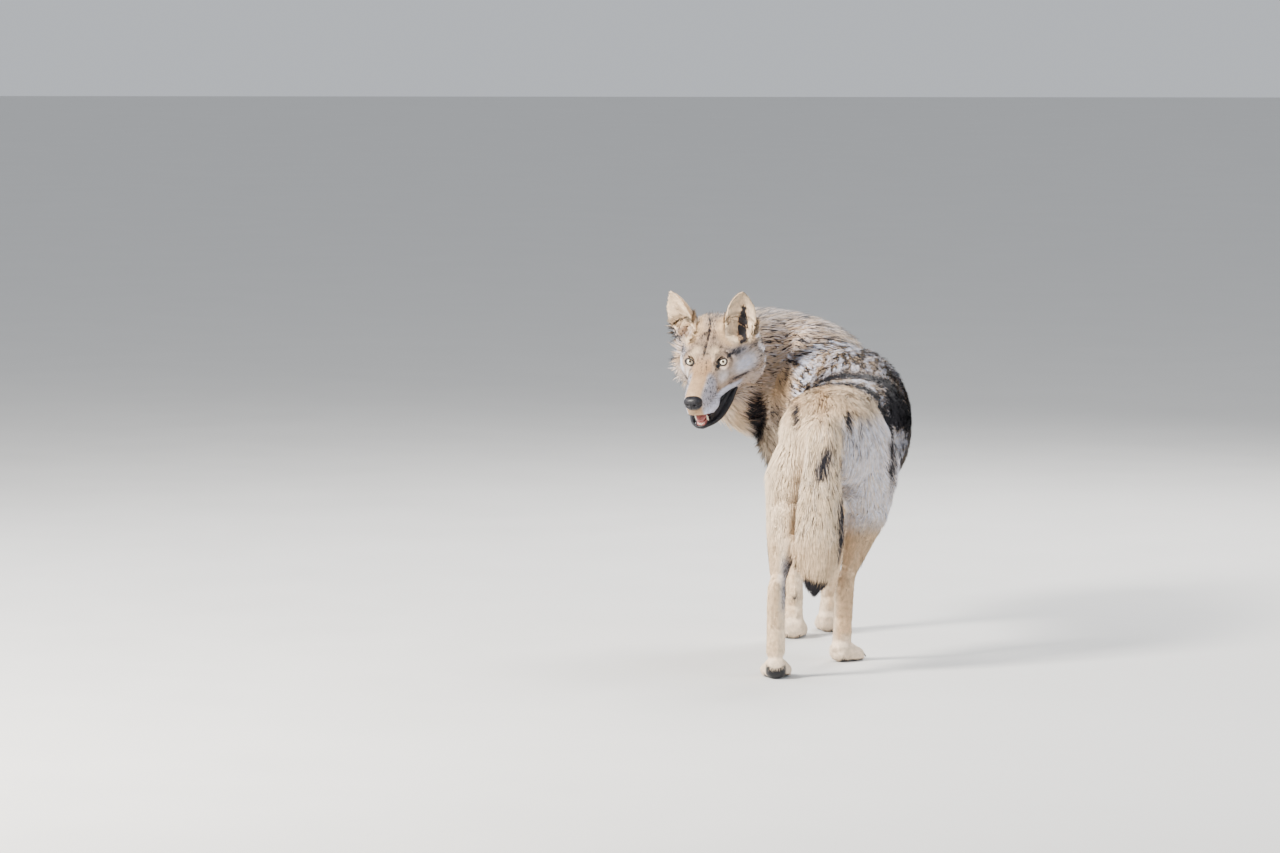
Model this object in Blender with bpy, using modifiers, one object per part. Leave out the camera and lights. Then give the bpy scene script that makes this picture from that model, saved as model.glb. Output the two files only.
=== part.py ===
"""A timber wolf, life size, standing with its head turned back over its left shoulder.

The wolf faces -Y, its left side is towards +X and +Z is up, in metres. The body is lofted from
rounded sections carried along smooth paths, fused into one form, and then parted with thin cuts
into the pieces that a person would name. The form is the outline of the winter coat.
"""

import math

import bmesh
import bpy
import numpy as np
from mathutils import Matrix, Vector

# Driving dimensions.
GAP = 0.0003                # clear space between neighbouring pieces
FUSE_VOXEL = 0.0042         # cell size at which the lofts are fused
BODY_TRIANGLES = 3350       # what the fused form is thinned to before it is parted
SIDES = 28                  # corners round each lofted section
STEPS = 8                   # rings between two stations of a loft
EYE_RADIUS = 0.0122
EYE_SPAN = 0.0395           # from the middle of the face to the middle of an eyeball
EYE_BACK = -0.0105          # the eyeballs' middles, behind the line through the pupils
EAR_LENGTH = 0.101
EAR_HALF_WIDTH = 0.036
EAR_SKIN = 0.0062

# Where the joints are. Each is (x, y, z), before the whole is centred on its base.
LEFT_HIND = {"hip": (0.034, -0.225, 0.555), "knee": (0.060, -0.190, 0.385),
             "hock": (0.084, 0.012, 0.205), "ankle": (0.085, -0.008, 0.058)}
RIGHT_HIND = {"hip": (-0.122, -0.250, 0.555), "knee": (-0.140, -0.385, 0.390),
              "hock": (-0.079, -0.268, 0.190), "ankle": (-0.071, -0.325, 0.050)}
LEFT_FORE = {"shoulder": (0.040, -0.850, 0.560), "elbow": (0.046, -0.795, 0.410),
             "wrist": (0.044, -0.772, 0.125), "ankle": (0.047, -0.770, 0.050)}
RIGHT_FORE = {"shoulder": (-0.100, -0.850, 0.560), "elbow": (-0.090, -0.820, 0.410),
              "wrist": (-0.044, -0.890, 0.130), "ankle": (-0.042, -0.905, 0.052)}

# Girths along a leg. Each is (joint number, half width, to the front, to the back); 1.5 is half
# way between joints 1 and 2.
HIND_GIRTH = ((0.0, 0.040, 0.080, 0.075), (0.5, 0.060, 0.104, 0.100), (1.0, 0.050, 0.066, 0.088),
              (1.45, 0.036, 0.040, 0.050), (1.82, 0.021, 0.022, 0.027), (2.0, 0.024, 0.021, 0.030),
              (2.5, 0.0235, 0.020, 0.022), (3.0, 0.025, 0.023, 0.022))
FORE_GIRTH = ((0.0, 0.052, 0.088, 0.095), (0.6, 0.046, 0.066, 0.070), (1.0, 0.036, 0.042, 0.052),
              (1.35, 0.028, 0.031, 0.034), (1.8, 0.0225, 0.023, 0.025), (2.0, 0.025, 0.024, 0.026),
              (2.5, 0.0235, 0.022, 0.023), (3.0, 0.027, 0.024, 0.024))

# The trunk, neck and tail. Each is (x, y, z, half width, above, below).
TRUNK = ((-0.034, -0.105, 0.575, 0.050, 0.045, 0.055), (-0.036, -0.150, 0.565, 0.098, 0.088, 0.110),
         (-0.045, -0.240, 0.560, 0.122, 0.112, 0.125), (-0.068, -0.350, 0.562, 0.126, 0.113, 0.132),
         (-0.095, -0.460, 0.560, 0.138, 0.126, 0.166), (-0.102, -0.570, 0.555, 0.139, 0.154, 0.182),
         (-0.093, -0.680, 0.555, 0.134, 0.174, 0.174), (-0.044, -0.780, 0.565, 0.130, 0.158, 0.182),
         (0.004, -0.870, 0.580, 0.134, 0.160, 0.180), (0.020, -0.945, 0.580, 0.084, 0.090, 0.115))
NECK = ((-0.050, -0.800, 0.600, 0.105, 0.138, 0.150), (-0.010, -0.880, 0.632, 0.112, 0.140, 0.165),
        (0.050, -0.925, 0.655, 0.110, 0.138, 0.172), (0.110, -0.928, 0.678, 0.102, 0.128, 0.178),
        (0.165, -0.888, 0.694, 0.096, 0.116, 0.186), (0.214, -0.820, 0.706, 0.090, 0.098, 0.166),
        (0.242, -0.745, 0.712, 0.070, 0.074, 0.115))
TAIL = ((-0.034, -0.150, 0.600, 0.030, 0.030, 0.030), (-0.027, -0.095, 0.575, 0.038, 0.036, 0.036),
        (-0.022, -0.068, 0.500, 0.046, 0.040, 0.040), (-0.019, -0.056, 0.420, 0.057, 0.046, 0.046),
        (-0.017, -0.048, 0.340, 0.060, 0.050, 0.050), (-0.012, -0.042, 0.270, 0.049, 0.044, 0.044),
        (-0.007, -0.040, 0.225, 0.028, 0.026, 0.026), (-0.006, -0.040, 0.200, 0.008, 0.008, 0.008))

RUFF = (0.068, -0.862, 0.508, 0.072, 0.078, 0.088)   # the mane bunched at the left of the chest

# The head, in its own frame: forward, left and up from the point midway between the eyes.
EYES = Vector((0.2615, -0.620, 0.6905))
HEAD_YAW = math.radians(19.0)
HEAD_PITCH = math.radians(26.5)
HEAD_ROLL = math.radians(1.5)
SKULL = ((-0.205, 0, -0.030, 0.070, 0.045, 0.050), (-0.160, 0, -0.026, 0.100, 0.076, 0.076),
         (-0.115, 0, -0.028, 0.110, 0.101, 0.088), (-0.074, 0, -0.034, 0.102, 0.101, 0.080),
         (-0.038, 0, -0.030, 0.083, 0.081, 0.070), (-0.008, 0, -0.026, 0.060, 0.057, 0.058),
         (0.018, 0, -0.026, 0.044, 0.036, 0.046), (0.045, 0, -0.030, 0.036, 0.029, 0.038),
         (0.080, 0, -0.036, 0.031, 0.026, 0.031), (0.108, 0, -0.040, 0.027, 0.023, 0.026),
         (0.121, 0, -0.041, 0.020, 0.016, 0.019))
JAW = ((-0.075, 0, -0.080, 0.062, 0.028, 0.040), (-0.040, 0, -0.086, 0.055, 0.020, 0.036),
       (-0.005, 0, -0.095, 0.043, 0.014, 0.030), (0.030, 0, -0.104, 0.032, 0.011, 0.024),
       (0.062, 0, -0.111, 0.025, 0.010, 0.020), (0.088, 0, -0.116, 0.020, 0.010, 0.016),
       (0.102, 0, -0.117, 0.011, 0.006, 0.009))
TONGUE = ((-0.020, 0, -0.084, 0.018, 0.004, 0.004), (0.030, 0, -0.0905, 0.017, 0.0035, 0.004),
          (0.062, 0, -0.0975, 0.015, 0.003, 0.0035), (0.080, 0, -0.1025, 0.011, 0.0025, 0.003),
          (0.088, 0, -0.1055, 0.005, 0.0015, 0.002))

# What each kind of piece is coloured, and how rough it is.
COLOURS = {"trunk": ((0.35, 0.31, 0.26), 0.85), "neck": ((0.32, 0.28, 0.22), 0.85),
           "head": ((0.40, 0.33, 0.25), 0.80), "jaw": ((0.55, 0.50, 0.42), 0.80),
           "ear": ((0.45, 0.30, 0.17), 0.80), "eye": ((0.55, 0.42, 0.12), 0.15),
           "nose": ((0.02, 0.02, 0.022), 0.35), "tongue": ((0.62, 0.25, 0.24), 0.45),
           "tail": ((0.42, 0.37, 0.30), 0.85), "foreleg": ((0.55, 0.45, 0.32), 0.80),
           "hindleg": ((0.58, 0.49, 0.36), 0.80), "paw": ((0.62, 0.56, 0.46), 0.75)}


def spline(points, steps):
    """Points of a Catmull-Rom curve through the given ones, with `steps` spans between two."""
    p = np.asarray(points, float)
    p = np.vstack([2 * p[0] - p[1], p, 2 * p[-1] - p[-2]])
    t = np.linspace(0, 1, steps, endpoint=False)[:, None]
    spans = []
    for a, b, c, d in zip(p, p[1:], p[2:], p[3:]):
        spans.append(0.5 * (2 * b + (c - a) * t + (2 * a - 5 * b + 4 * c - d) * t ** 2
                            + (3 * b - a - 3 * c + d) * t ** 3))
    return np.vstack(spans + [p[-2][None]])


def unit(v):
    return v / np.maximum(np.linalg.norm(v, axis=-1, keepdims=True), 1e-9)


def link(name, mesh):
    obj = bpy.data.objects.new(name, mesh)
    bpy.context.scene.collection.objects.link(obj)
    return obj


def tube(name, ring, matrix=None, folded=False):
    """A closed mesh from rings of points.

    Each end is closed by a fan to its middle, or, where the ring is a leaf folded back on itself,
    by a strip between its two faces.
    """
    count, sides = ring.shape[:2]
    verts = ring.reshape(-1, 3)
    faces = []
    for i in range(count - 1):
        for j in range(sides):
            k = (j + 1) % sides
            faces.append((i * sides + j, i * sides + k, (i + 1) * sides + k, (i + 1) * sides + j))
    last = (count - 1) * sides
    if folded:
        for j in range(sides // 2 - 1):
            far = sides - 1 - j
            faces.append((far, far - 1, j + 1, j))
            faces.append((last + j, last + j + 1, last + far - 1, last + far))
    else:
        verts = np.vstack([verts, ring[0].mean(0)[None], ring[-1].mean(0)[None]])
        for j in range(sides):
            k = (j + 1) % sides
            faces.append((count * sides, k, j))
            faces.append((count * sides + 1, last + j, last + k))
    mesh = bpy.data.meshes.new(name)
    mesh.from_pydata([tuple(v) for v in verts], [], faces)
    if matrix is not None:
        mesh.transform(matrix)
    bm = bmesh.new()
    bm.from_mesh(mesh)
    bmesh.ops.recalc_face_normals(bm, faces=bm.faces)
    bmesh.ops.triangulate(bm, faces=bm.faces)
    bm.to_mesh(mesh)
    bm.free()
    return link(name, mesh)


def loft(name, stations, towards, power=2.15, sides=SIDES, steps=STEPS, matrix=None, grow=0.0):
    """A closed tube whose rounded section is carried along a smooth path.

    A station is (x, y, z, half width, towards, away): the last two are how far the section
    reaches along `towards` and against it. `grow` moves the whole surface out.
    """
    rows = spline(stations, steps)
    centre, wide, ahead, back = rows[:, :3], rows[:, 3] + grow, rows[:, 4] + grow, rows[:, 5] + grow
    along = unit(np.gradient(centre, axis=0))
    centre[0] -= along[0] * grow
    centre[-1] += along[-1] * grow
    front = np.asarray(towards, float) - (along @ np.asarray(towards, float))[:, None] * along
    front = unit(front)
    across = np.cross(along, front)
    turn = np.linspace(0, 2 * math.pi, sides, endpoint=False)
    c = np.sign(np.cos(turn)) * np.abs(np.cos(turn)) ** (2 / power)
    s = np.sign(np.sin(turn)) * np.abs(np.sin(turn)) ** (2 / power)
    reach = np.where(s[None] > 0, ahead[:, None], back[:, None])
    ring = (centre[:, None] + across[:, None] * (wide[:, None] * c)[..., None]
            + front[:, None] * (reach * s)[..., None])
    return tube(name, ring, matrix)


def ball(name, centre, radii, matrix=None, turn=None, level=3):
    bm = bmesh.new()
    bmesh.ops.create_icosphere(bm, subdivisions=level, radius=1.0)
    mesh = bpy.data.meshes.new(name)
    bm.to_mesh(mesh)
    bm.free()
    place = Matrix.Translation(Vector(centre))
    if turn is not None:
        place = place @ turn
    mesh.transform(place @ Matrix.Diagonal((*radii, 1.0)))
    if matrix is not None:
        mesh.transform(matrix)
    return link(name, mesh)


def block(name, centre, size, turn=None):
    bm = bmesh.new()
    bmesh.ops.create_cube(bm, size=1.0)
    mesh = bpy.data.meshes.new(name)
    bm.to_mesh(mesh)
    bm.free()
    place = Matrix.Translation(Vector(centre))
    if turn is not None:
        place = place @ turn
    mesh.transform(place @ Matrix.Diagonal((*size, 1.0)))
    return link(name, mesh)


def head_matrix():
    """Takes (forward, left, up) in the head's frame to the body's frame."""
    forward = Vector((math.sin(HEAD_YAW) * math.cos(HEAD_PITCH),
                      math.cos(HEAD_YAW) * math.cos(HEAD_PITCH), -math.sin(HEAD_PITCH)))
    level = Vector((0, 0, 1)).cross(forward).normalized()
    upright = forward.cross(level)
    left = level * math.cos(HEAD_ROLL) + upright * math.sin(HEAD_ROLL)
    m = Matrix((forward, left, forward.cross(left))).transposed().to_4x4()
    m.translation = EYES
    return m


def leg_stations(joints, girths):
    """The stations of a leg: joint positions with the girths set between them."""
    places = np.array(list(joints.values()))
    at = np.array([g[0] for g in girths])
    low = np.minimum(at.astype(int), len(places) - 2)
    middle = places[low] + (places[low + 1] - places[low]) * (at - low)[:, None]
    return np.hstack([middle, np.array([g[1:] for g in girths])])


def paw_frame(ankle, toe_out):
    return Matrix.Translation(Vector((ankle[0], ankle[1], 0))) @ Matrix.Rotation(toe_out, 4, "Z")


def toe_places(length, width):
    """Where the four toes end, in a paw's own frame: (sideways, ahead)."""
    half = width / 2
    return [(side * half * 0.88, -length * ahead)
            for side, ahead in ((-0.76, 0.62), (-0.27, 0.75), (0.27, 0.75), (0.76, 0.62))]


def paw(name, ankle, toe_out, length, width, height):
    """A paw's lofts: the foot from its heel to the toes, and four toes side by side."""
    turn = paw_frame(ankle, toe_out)
    half = width / 2
    foot = ((0, 0.032, height * 0.62, half * 0.40, height * 0.30, height * 0.30),
            (0, 0.020, height * 0.66, half * 0.62, height * 0.55, height * 0.62),
            (0, 0, height * 0.70, half * 0.76, height * 0.62, height * 0.72),
            (0, -length * 0.28, height * 0.52, half * 0.86, height * 0.52, height * 0.56),
            (0, -length * 0.50, height * 0.40, half * 0.72, height * 0.36, height * 0.42))
    pieces = [loft(name + "_foot", foot, (0, 0, 1), power=2.4, matrix=turn)]
    for number, (x, tip) in enumerate(toe_places(length, width)):
        toe = ((x * 0.80, tip + 0.050, height * 0.56, 0.010, height * 0.22, height * 0.40),
               (x * 0.90, tip + 0.034, height * 0.54, 0.0128, height * 0.34, height * 0.54),
               (x * 1.00, tip + 0.015, height * 0.43, 0.0138, height * 0.33, height * 0.46),
               (x * 1.02, tip + 0.002, height * 0.33, 0.0112, height * 0.23, height * 0.34),
               (x * 1.02, tip - 0.006, height * 0.26, 0.0045, height * 0.10, height * 0.14))
        pieces.append(loft(f"{name}_toe_{number}", toe, (0, 0, 1), sides=16, steps=6, matrix=turn))
    return pieces


def claws(name, ankle, toe_out, length, width, height):
    """The four claws of a paw, each a curved tapering spike out of its toe."""
    turn = paw_frame(ankle, toe_out)
    pieces = []
    for number, (x, tip) in enumerate(toe_places(length, width)):
        spike = ((x * 1.02, tip + 0.006, height * 0.37, 0.0026, 0.0032, 0.0032),
                 (x * 1.03, tip - 0.008, height * 0.32, 0.0021, 0.0026, 0.0026),
                 (x * 1.04, tip - 0.015, height * 0.13, 0.0006, 0.0006, 0.0006))
        pieces.append(loft(f"{name}_claw_{number}", spike, (0, 0, 1), sides=5, steps=1, matrix=turn))
    return pieces


def ear(name, side, matrix, rows=10, across=7):
    """A cupped ear: a curved leaf with an inner and an outer face, rolled more at its root."""
    rise = np.linspace(0, 1, rows) ** 0.9
    rise = rise * 0.985
    half = EAR_HALF_WIDTH * np.clip(1 - rise ** 2.3, 0, 1) ** 0.62 * (0.86 + 0.55 * rise * (1 - rise))
    roll = np.radians(112 - 62 * rise)
    sweep = np.linspace(-1, 1, across)
    angle = roll[:, None] * sweep[None]
    radius = half / np.sin(np.minimum(roll, math.pi / 2))
    skin = EAR_SKIN * (1 - 0.45 * rise)[:, None] * (1 - 0.55 * sweep[None] ** 4)
    outer = radius[:, None] + skin / 2
    inner = np.maximum(radius[:, None] - skin / 2, 0.0012)
    depth_back = radius * 0.65
    def face(r):
        return np.stack([-r * np.cos(angle) + depth_back[:, None], r * np.sin(angle)], -1)
    loop = np.concatenate([face(outer), face(inner)[:, ::-1]], axis=1)
    tall = (rise * EAR_LENGTH - 0.020 * (1 - rise))[:, None]
    lean = -0.012 * np.sin(rise * 2.2)[:, None]
    pts = np.stack([loop[..., 0] + lean, loop[..., 1], np.broadcast_to(tall, loop.shape[:2])], -1)
    place = (Matrix.Translation(Vector((-0.094, side * 0.062, 0.052)))
             @ Matrix.Rotation(math.radians(-20 * side), 4, "X")
             @ Matrix.Rotation(math.radians(6), 4, "Y")
             @ Matrix.Rotation(math.radians(24 * side), 4, "Z"))
    return tube(name, pts, matrix @ place, folded=True)


def join(name, objects):
    """One object holding the meshes of all the given ones."""
    bm = bmesh.new()
    for obj in objects:
        bm.from_mesh(obj.data)
    mesh = bpy.data.meshes.new(name)
    bm.to_mesh(mesh)
    bm.free()
    for obj in objects:
        bpy.data.objects.remove(obj)
    return link(name, mesh)


def settle(obj):
    """Replaces an object's mesh with the result of its modifiers."""
    bpy.context.view_layer.update()
    graph = bpy.context.evaluated_depsgraph_get()
    mesh = bpy.data.meshes.new_from_object(obj.evaluated_get(graph))
    obj.modifiers.clear()
    obj.data = mesh
    return obj


def combine(obj, other, operation):
    cut = obj.modifiers.new("part", "BOOLEAN")
    cut.operation = operation
    cut.solver = "EXACT"
    cut.use_self = False
    cut.object = other
    return settle(obj)


def copy(obj, name):
    return link(name, obj.data.copy())


def swollen(obj):
    """A copy of an object with its surface moved out by a little more than the gap."""
    room = copy(obj, obj.name + "_room")
    count = len(room.data.vertices)
    places, normals = np.empty(count * 3), np.empty(count * 3)
    room.data.vertices.foreach_get("co", places)
    room.data.vertices.foreach_get("normal", normals)
    room.data.vertices.foreach_set("co", places + normals * GAP * 1.4)
    room.data.update()
    return room


def drop(*objects):
    for obj in objects:
        bpy.data.objects.remove(obj)


def sound(bm):
    """Drops fins, which are pairs of faces back to back, and says whether the mesh is closed."""
    seen, fins = {}, []
    for face in bm.faces:
        key = frozenset(vert.index for vert in face.verts)
        if key in seen:
            fins += [face, seen[key]]
        seen[key] = face
    if fins:
        bmesh.ops.delete(bm, geom=list(set(fins)), context="FACES_ONLY")
        bmesh.ops.delete(bm, geom=[e for e in bm.edges if not e.link_faces], context="EDGES_FACES")
        bmesh.ops.delete(bm, geom=[v for v in bm.verts if not v.link_edges], context="VERTS")
    return all(len(edge.link_faces) == 2 for edge in bm.edges)


def tidy(obj):
    """Welds what a cut has left closer than a tenth of a millimetre, and drops loose crumbs."""
    for reach, method in ((0.00009, "BEAUTY"), (0.00009, "EAR_CLIP"), (0.00003, "BEAUTY"),
                          (0.00003, "EAR_CLIP"), (0.0, "BEAUTY"), (0.0, "EAR_CLIP")):
        bm = bmesh.new()
        bm.from_mesh(obj.data)
        if reach:
            bmesh.ops.remove_doubles(bm, verts=bm.verts, dist=reach)
            bmesh.ops.dissolve_degenerate(bm, edges=bm.edges, dist=reach)
        bmesh.ops.triangulate(bm, faces=bm.faces, ngon_method=method)
        bm.verts.index_update()
        if sound(bm):
            break
        bm.free()
    else:
        raise ValueError(obj.name + " isn't closed")
    left, islands = set(bm.verts), []
    while left:
        seed = left.pop()
        island, edge = [seed], [seed]
        while edge:
            vert = edge.pop()
            for e in vert.link_edges:
                far = e.other_vert(vert)
                if far in left:
                    left.discard(far)
                    island.append(far)
                    edge.append(far)
        islands.append(island)
    islands.sort(key=len, reverse=True)
    crumbs = [v for island in islands[1:] for v in island]
    if crumbs:
        bmesh.ops.delete(bm, geom=crumbs, context="VERTS")
    bmesh.ops.recalc_face_normals(bm, faces=bm.faces)
    bm.to_mesh(obj.data)
    bm.free()
    return obj


def split(body, name, inner, outer):
    """Takes from `body` what lies in `inner`, and leaves what lies beyond `outer`."""
    piece = copy(body, name)
    combine(piece, inner, "INTERSECT")
    combine(body, outer, "DIFFERENCE")
    drop(inner, outer)
    tidy(body)
    return tidy(piece)


LEGS = (("hind_left", LEFT_HIND, HIND_GIRTH, 0.0, (0.095, 0.074, 0.040)),
        ("hind_right", RIGHT_HIND, HIND_GIRTH, -0.5, (0.095, 0.076, 0.040)),
        ("fore_left", LEFT_FORE, FORE_GIRTH, 0.1, (0.105, 0.086, 0.042)),
        ("fore_right", RIGHT_FORE, FORE_GIRTH, -0.1, (0.105, 0.086, 0.042)))


def leg_loft(name, joints, girths, toe_out):
    out = Matrix.Rotation(toe_out, 3, "Z") @ Vector((0, -1, 0))
    return loft(name, leg_stations(joints, girths), out)


def leg_bounds(name, joints, girths, toe_out, gap=0.0):
    """The space a leg is parted from the body by: the leg made stouter, down to below its paw."""
    stations = leg_stations(joints, girths)
    spare = np.interp(stations[:, 2], (0.0, 0.30, 0.45, 0.60), (0.020, 0.020, 0.013, 0.009))
    stations[:, 3:] += spare[:, None]
    x, y, z = joints["ankle"]
    foot = [(x, y - 0.015, 0.048, 0.052, 0.060, 0.050), (x, y - 0.025, 0.0, 0.056, 0.085, 0.075),
            (x, y - 0.025, -0.040, 0.056, 0.085, 0.075)]
    stations = np.vstack([stations[:-1], foot])
    return loft(name, stations, (0.0, -1.0, 0.0), sides=10, steps=1, grow=gap)


def weigh(obj, name, weights):
    """A vertex group whose weights are rounded to tenths."""
    group = obj.vertex_groups.new(name=name)
    tenths = np.round(weights * 10).astype(int)
    for tenth in range(1, 11):
        chosen = np.nonzero(tenths == tenth)[0].tolist()
        if chosen:
            group.add(chosen, tenth / 10, "REPLACE")


def whole_form(head):
    """The lofts of the body fused into one closed form and thinned."""
    forms = [loft("trunk_form", TRUNK, (0, 0, 1)), loft("neck_form", NECK, (0, 0, 1)),
             loft("tail_form", TAIL, (0, 1, 0)), loft("skull_form", SKULL, (0, 0, 1), matrix=head),
             loft("jaw_form", JAW, (0, 0, 1), matrix=head),
             ball("ruff_form", RUFF[:3], RUFF[3:])]
    for side in (-1, 1):
        forms.append(ball("brow", (-0.012, side * 0.032, 0.0165), (0.022, 0.020, 0.009), head))
        forms.append(ball("cheek", (-0.102, side * 0.078, -0.054), (0.058, 0.040, 0.058), head))
        forms.append(ball("ear_root", (-0.100, side * 0.054, 0.036), (0.028, 0.026, 0.026), head))
        forms.append(ball("lip", (0.064, side * 0.016, -0.056), (0.056, 0.018, 0.014), head))
    for name, joints, girths, toe_out, size in LEGS:
        forms.append(leg_loft(name, joints, girths, toe_out))
        forms += paw(name, joints["ankle"], toe_out, *size)
        if name.startswith("fore"):
            wrist = Vector(joints["wrist"])
            forms.append(ball("pad", wrist + Vector((0, 0.026, -0.022)), (0.009, 0.009, 0.011)))
        else:
            hock = Vector(joints["hock"])
            forms.append(ball("heel", hock + Vector((0, 0.018, 0.012)), (0.017, 0.018, 0.026)))
    body = join("body", forms)
    fuse = body.modifiers.new("fuse", "REMESH")
    fuse.mode = "VOXEL"
    fuse.voxel_size = FUSE_VOXEL
    fuse.adaptivity = 0.0
    settle(body)
    at = np.empty(len(body.data.vertices) * 3)
    body.data.vertices.foreach_get("co", at)
    at = at.reshape(-1, 3)
    inverse = np.array(head.inverted())
    local = at @ inverse[:3, :3].T + inverse[:3, 3]
    face = np.clip((local[:, 0] + 0.08) / 0.05, 0, 1) * (np.abs(local[:, 1]) < 0.12)
    face = face * (np.abs(local[:, 2]) < 0.16) * (local[:, 0] < 0.2)
    low = np.clip((0.06 - at[:, 2]) / 0.02, 0, 1)
    weigh(body, "soft", 1.0 - 0.9 * np.maximum(face, low))
    weigh(body, "spare", 1.0 - np.maximum(0.62 * face, 0.40 * low))
    smooth = body.modifiers.new("smooth", "SMOOTH")
    smooth.factor = 0.5
    smooth.iterations = 14
    smooth.vertex_group = "soft"
    thin = body.modifiers.new("thin", "DECIMATE")
    thin.decimate_type = "COLLAPSE"
    thin.ratio = BODY_TRIANGLES / (2.0 * len(body.data.polygons))
    thin.vertex_group = "spare"
    thin.vertex_group_factor = 0.12
    thin.use_collapse_triangulate = True
    settle(body)
    floor = block("floor", (0, -0.45, -0.05), (1.4, 1.6, 0.1))
    combine(body, floor, "DIFFERENCE")
    drop(floor)
    return tidy(body)


def slab(name, centre, along, size, thick):
    """A square slab whose flat face looks along `along`."""
    turn = Vector(along).to_track_quat("Z", "Y").to_matrix().to_4x4()
    return block(name, centre, (size, size, thick), turn)


def beyond(name, centre, along, size, depth, gap=0.0):
    """A box that starts on a plane and reaches `depth` along its direction."""
    along = Vector(along).normalized()
    start = Vector(centre) - along * gap
    return slab(name, start + along * (depth / 2), along, size, depth)


def head_bounds(name, head, gap=0.0):
    """The space the head is parted from the neck by: wide, and flat behind the ears and cheeks."""
    stations = ((-0.134, 0, 0, 0.110, 0.130, 0.150), (-0.100, 0, 0, 0.125, 0.130, 0.160),
                (-0.060, 0, 0, 0.135, 0.130, 0.170),
                (0.060, 0, 0, 0.120, 0.130, 0.180), (0.170, 0, 0, 0.090, 0.100, 0.170))
    lean = Matrix.Identity(4)
    lean[0][2] = 0.38
    place = head @ lean
    return loft(name, stations, (0, 0, 1), power=4.0, sides=12, steps=1, matrix=place, grow=gap)


def carve(obj, other):
    """Cuts the room that `other` fills, and drops it."""
    combine(obj, other, "DIFFERENCE")
    drop(other)


def add(obj, others):
    """Makes small pieces that grow out of an object one solid with it."""
    for other in others:
        combine(obj, other, "UNION")
        drop(other)


def globe(name, centre, radii, matrix, sides=12, rows=8):
    """A ball made of rings round its front-to-back axis."""
    turn = np.linspace(0, 2 * math.pi, sides, endpoint=False)
    tilt = np.linspace(0.16, math.pi - 0.16, rows)[:, None]
    ring = np.stack([np.broadcast_to(np.cos(tilt), (rows, sides)), np.sin(tilt) * np.cos(turn),
                     np.sin(tilt) * np.sin(turn)], -1)
    return tube(name, np.array(centre) + ring * np.array(radii), matrix)


def eyeball(name, side, matrix):
    look = Matrix.Translation(Vector((EYE_BACK, side * EYE_SPAN, 0.0)))
    look = look @ Matrix.Rotation(math.radians(side * 30), 4, "Z")
    return globe(name, (0, 0, 0), (EYE_RADIUS, EYE_RADIUS, EYE_RADIUS), matrix @ look)


def eye_opening(name, side, matrix):
    """The almond between the lids, through which the front of the eyeball shows."""
    look = Matrix.Translation(Vector((EYE_BACK + 0.0125, side * (EYE_SPAN + 0.0065), 0.0)))
    look = look @ Matrix.Rotation(math.radians(side * 34), 4, "Z")
    look = look @ Matrix.Rotation(math.radians(side * 12), 4, "X")
    return globe(name, (0, 0, 0), (0.0120, 0.0125, 0.0082), matrix @ look, sides=10, rows=6)


def nose(name, matrix):
    return globe(name, (0.1165, 0, -0.0395), (0.0165, 0.0225, 0.0170), matrix)


def tooth(name, at, tip, radius, matrix):
    """A pointed tooth from its root at `at` to `tip`."""
    a, b = np.array(at), np.array(tip)
    stations = [(*a, radius, radius, radius), (*(a + (b - a) * 0.55), *(radius * 0.75,) * 3),
                (*b, *(radius * 0.2,) * 3)]
    return loft(name, stations, (1, 0, 0), sides=6, steps=1, matrix=matrix)


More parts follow.
